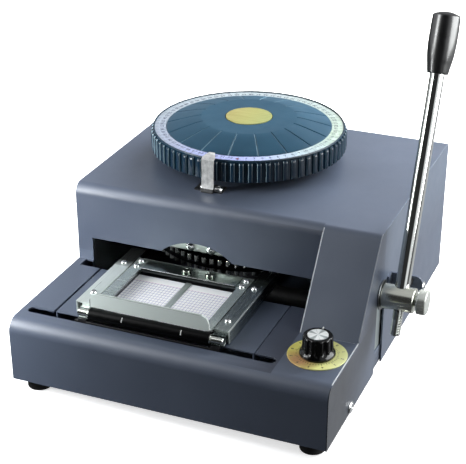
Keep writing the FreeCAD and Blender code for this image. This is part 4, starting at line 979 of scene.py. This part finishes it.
# scale: ticks and plain numbers round the knob
bm = bmesh.new()
for k in range(41):
    a = math.radians(-240 + 300 * k / 40.0)
    L = 2.6 if k % 4 == 0 else 1.5
    block(bm, 17.0, 17.0 + L, -0.13, 0.13, 0, 0.06, Matrix.Rotation(a, 3, "Z"), (KX, KY, 61.2))
for k in range(11):
    a = math.radians(60 - 30 * k)
    me = text_mesh(str(k), 3.6)
    join_mesh(bm, me, Matrix.Translation(P(KX + 22.2 * math.cos(a), KY + 22.2 * math.sin(a), 61.23)) @ Matrix.Rotation(a - math.pi / 2, 4, "Z"))
new_object("depth_scale_print", bm, m_inkdark, smooth=False, body="chassis")

# ----------------------------------------------------------- carriage trims
RXr = RX
bm = bmesh.new()
lathe(bm, [(4.55, -82.8), (5.0, -82.8), (5.5, -82.5), (5.75, -81.9), (5.8, -81.2), (5.8, 31.7), (5.75, 32.3), (5.5, 32.9), (5.0, 33.2), (4.55, 33.2)],
      (0, 29.0, 66.5), RX, 64, closed=True)
new_object("grip_roller_sleeve", bm, m_roller, body="roller", replaces=["grip_roller"])
# cross rod, turned down where its ends sit in the saddles
bm = bmesh.new()
lathe(bm, [(0, -94.2), (2.9, -94.2), (3.3, -93.8), (3.3, -84.6), (4.45, -84.3), (4.5, -84.0), (4.5, -40), (4.5, 0), (4.5, 33.6), (4.45, 34.0),
           (3.2, 34.3), (3.2, 44.9), (2.8, 45.3), (0, 45.3)], (0, 29.0, 66.5), RX, 64)
new_object("cross_rod_bar", bm, m_rodend, body="carriage", replaces=["cross_rod"], angle=30)
bm = bmesh.new()
for x in (-49.2, 7.4):
    for k in range(7):
        a0 = math.radians(12 + 6.5 * k)
        pts = []
        for (dx, da) in ((-0.42, 0), (0.42, 0), (0.42, 6.5), (-0.42, 6.5)):
            a = a0 + math.radians(da)
            pts.append(bm.verts.new(P(x + dx, 29.0 - 5.84 * math.cos(a), 66.5 + 5.84 * math.sin(a))))
        bm.faces.new(pts)
new_object("roller_ticks", bm, m_white, body="roller")

# -------------------------------------------------------------------- stage
FILL, ROOM = 0.162, 0.52
bm = bmesh.new()
vs = [bm.verts.new(v) for v in ((-14, -14, 0), (14, -14, 0), (14, 14, 0), (-14, 14, 0))]
bm.faces.new(vs)
me = bpy.data.meshes.new("studio_floor")
bm.to_mesh(me)
bm.free()
floor = bpy.data.objects.new("studio_floor", me)
scene.collection.objects.link(floor)
M = Mat("floor_white")
M.set(Base_Color=M.ramp(M.noise(0.6, 2.0), [(0.3, (0.93, 0.93, 0.93)), (0.7, (0.95, 0.95, 0.95))]), Roughness=0.9)
M.b.inputs["Specular IOR Level"].default_value = 0.0
M.b.inputs["Emission Color"].default_value = (1, 1, 1, 1)
M.b.inputs["Emission Strength"].default_value = 0.65
me.materials.append(M.m)
floor.visible_diffuse = False
floor.visible_glossy = False

w = bpy.data.worlds.new("studio")
scene.world = w
w.use_nodes = True
nt = w.node_tree
bg = nt.nodes["Background"]
tc = nt.nodes.new("ShaderNodeTexCoord")


def wmath(op, a, b=None):
    n = nt.nodes.new("ShaderNodeMath")
    n.operation = op
    for k, v in ((0, a), (1, b)):
        if v is None:
            continue
        if isinstance(v, (int, float)):
            n.inputs[k].default_value = v
        else:
            nt.links.new(v, n.inputs[k])
    return n.outputs[0]


def wlobe(direction, lo, hi):
    """0 outside, 1 inside a soft cone round a fixed direction of the room."""
    n = nt.nodes.new("ShaderNodeVectorMath")
    n.operation = "DOT_PRODUCT"
    nt.links.new(tc.outputs["Generated"], n.inputs[0])
    n.inputs[1].default_value = direction
    r = nt.nodes.new("ShaderNodeMapRange")
    r.interpolation_type = "SMOOTHSTEP"
    r.inputs["From Min"].default_value = math.cos(math.radians(lo))
    r.inputs["From Max"].default_value = math.cos(math.radians(hi))
    nt.links.new(n.outputs["Value"], r.inputs["Value"])
    return r.outputs["Result"]


def wdir(azimuth, elevation):
    a_, e_ = math.radians(azimuth), math.radians(elevation)
    return (math.sin(a_) * math.cos(e_), -math.cos(a_) * math.cos(e_), math.sin(e_))


# pale room: brighter to the left, right and back, an unlit wall behind the
# photographer, and a dim table in front.  Diffuse fill is kept low so that the
# nearby lamps model the case; mirror-like parts see the full room.
sx = nt.nodes.new("ShaderNodeSeparateXYZ")
nt.links.new(tc.outputs["Generated"], sx.inputs[0])
up_ = nt.nodes.new("ShaderNodeMapRange")
up_.interpolation_type = "SMOOTHSTEP"
up_.inputs["From Min"].default_value = -0.10
up_.inputs["From Max"].default_value = 0.02
nt.links.new(sx.outputs[2], up_.inputs["Value"])
up_ = up_.outputs["Result"]


def wmix(f, a, b):
    return wmath("ADD", wmath("MULTIPLY", b, f), wmath("MULTIPLY", a, wmath("SUBTRACT", 1.0, f)))


left_ = wlobe(wdir(-85, 12), 50, 26)
right_ = wlobe(wdir(114, 14), 58, 28)
right_wide = wlobe(wdir(98, 12), 64, 46)
table_back = wlobe(wdir(150, -26), 60, 30)
fill = wmath("ADD", FILL, wmath("ADD", wmath("MULTIPLY", left_, 0.50), wmath("MULTIPLY", right_, 1.05)))
fill = wmath("MULTIPLY", fill, wmath("SUBTRACT", 1.0, wmath("MULTIPLY", wlobe(wdir(12, 20), 54, 32), 0.95)))
fill = wmix(up_, wmath("ADD", 0.085, wmath("MULTIPLY", table_back, 0.12)), fill)
seen = wmath("ADD", ROOM, wmath("ADD", wmath("MULTIPLY", left_, 0.45), wmath("MULTIPLY", right_wide, 0.45)))
seen = wmath("MULTIPLY", seen, wmath("SUBTRACT", 1.0, wmath("MULTIPLY", wlobe(wdir(-2, 15), 40, 33), 0.94)))
seen = wmix(up_, wmath("ADD", 0.06, wmath("MULTIPLY", table_back, 0.5)), seen)
lp = nt.nodes.new("ShaderNodeLightPath")
level = wmix(lp.outputs["Is Glossy Ray"], fill, seen)
mx = nt.nodes.new("ShaderNodeCombineColor")
nt.links.new(wmath("MULTIPLY", level, 0.97), mx.inputs[0])
nt.links.new(wmath("MULTIPLY", level, 0.99), mx.inputs[1])
nt.links.new(wmath("MULTIPLY", level, 1.02), mx.inputs[2])
nt.links.new(mx.outputs[0], bg.inputs["Color"])
bg.inputs["Strength"].default_value = 1.0


def area(name, loc, target, size, power, color=(1, 1, 1), shape="RECTANGLE", size_y=None):
    l = bpy.data.lights.new(name, "AREA")
    l.shape = shape
    l.size = size
    l.size_y = size_y or size
    l.energy = power
    l.color = color
    ob = bpy.data.objects.new(name, l)
    scene.collection.objects.link(ob)
    ob.location = loc
    d = Vector(target) - Vector(loc)
    ob.rotation_euler = d.to_track_quat("-Z", "Y").to_euler()
    return ob


area("back", (0.12, 1.25, 0.66), (0.05, 0.05, 0.12), 0.7, 34, (1.0, 0.995, 0.98)).visible_glossy = False
area("over_left", (-0.50, -0.38, 0.70), (-0.16, -0.12, 0.07), 0.42, 1.8, (0.97, 0.99, 1.0))
area("left_near", (-0.42, -0.33, 0.235), (-0.56, 0.1, 0.0), 0.22, 5.8, (0.96, 0.99, 1.0))
area("side_right", (0.57, 0.76, 0.46), (0.15, 0.14, 0.1), 0.45, 17.5, (0.98, 1.0, 0.99)).visible_glossy = False
area("right_box", (1.30, 0.25, 0.52), (0.15, 0.0, 0.3), 1.5, 38, (0.98, 1.0, 1.0), size_y=0.8).visible_diffuse = False
area("left_box", (-0.75, -0.63, 0.60), (0.15, 0.0, 0.3), 0.34, 4.5, (0.98, 1.0, 1.0)).visible_diffuse = False
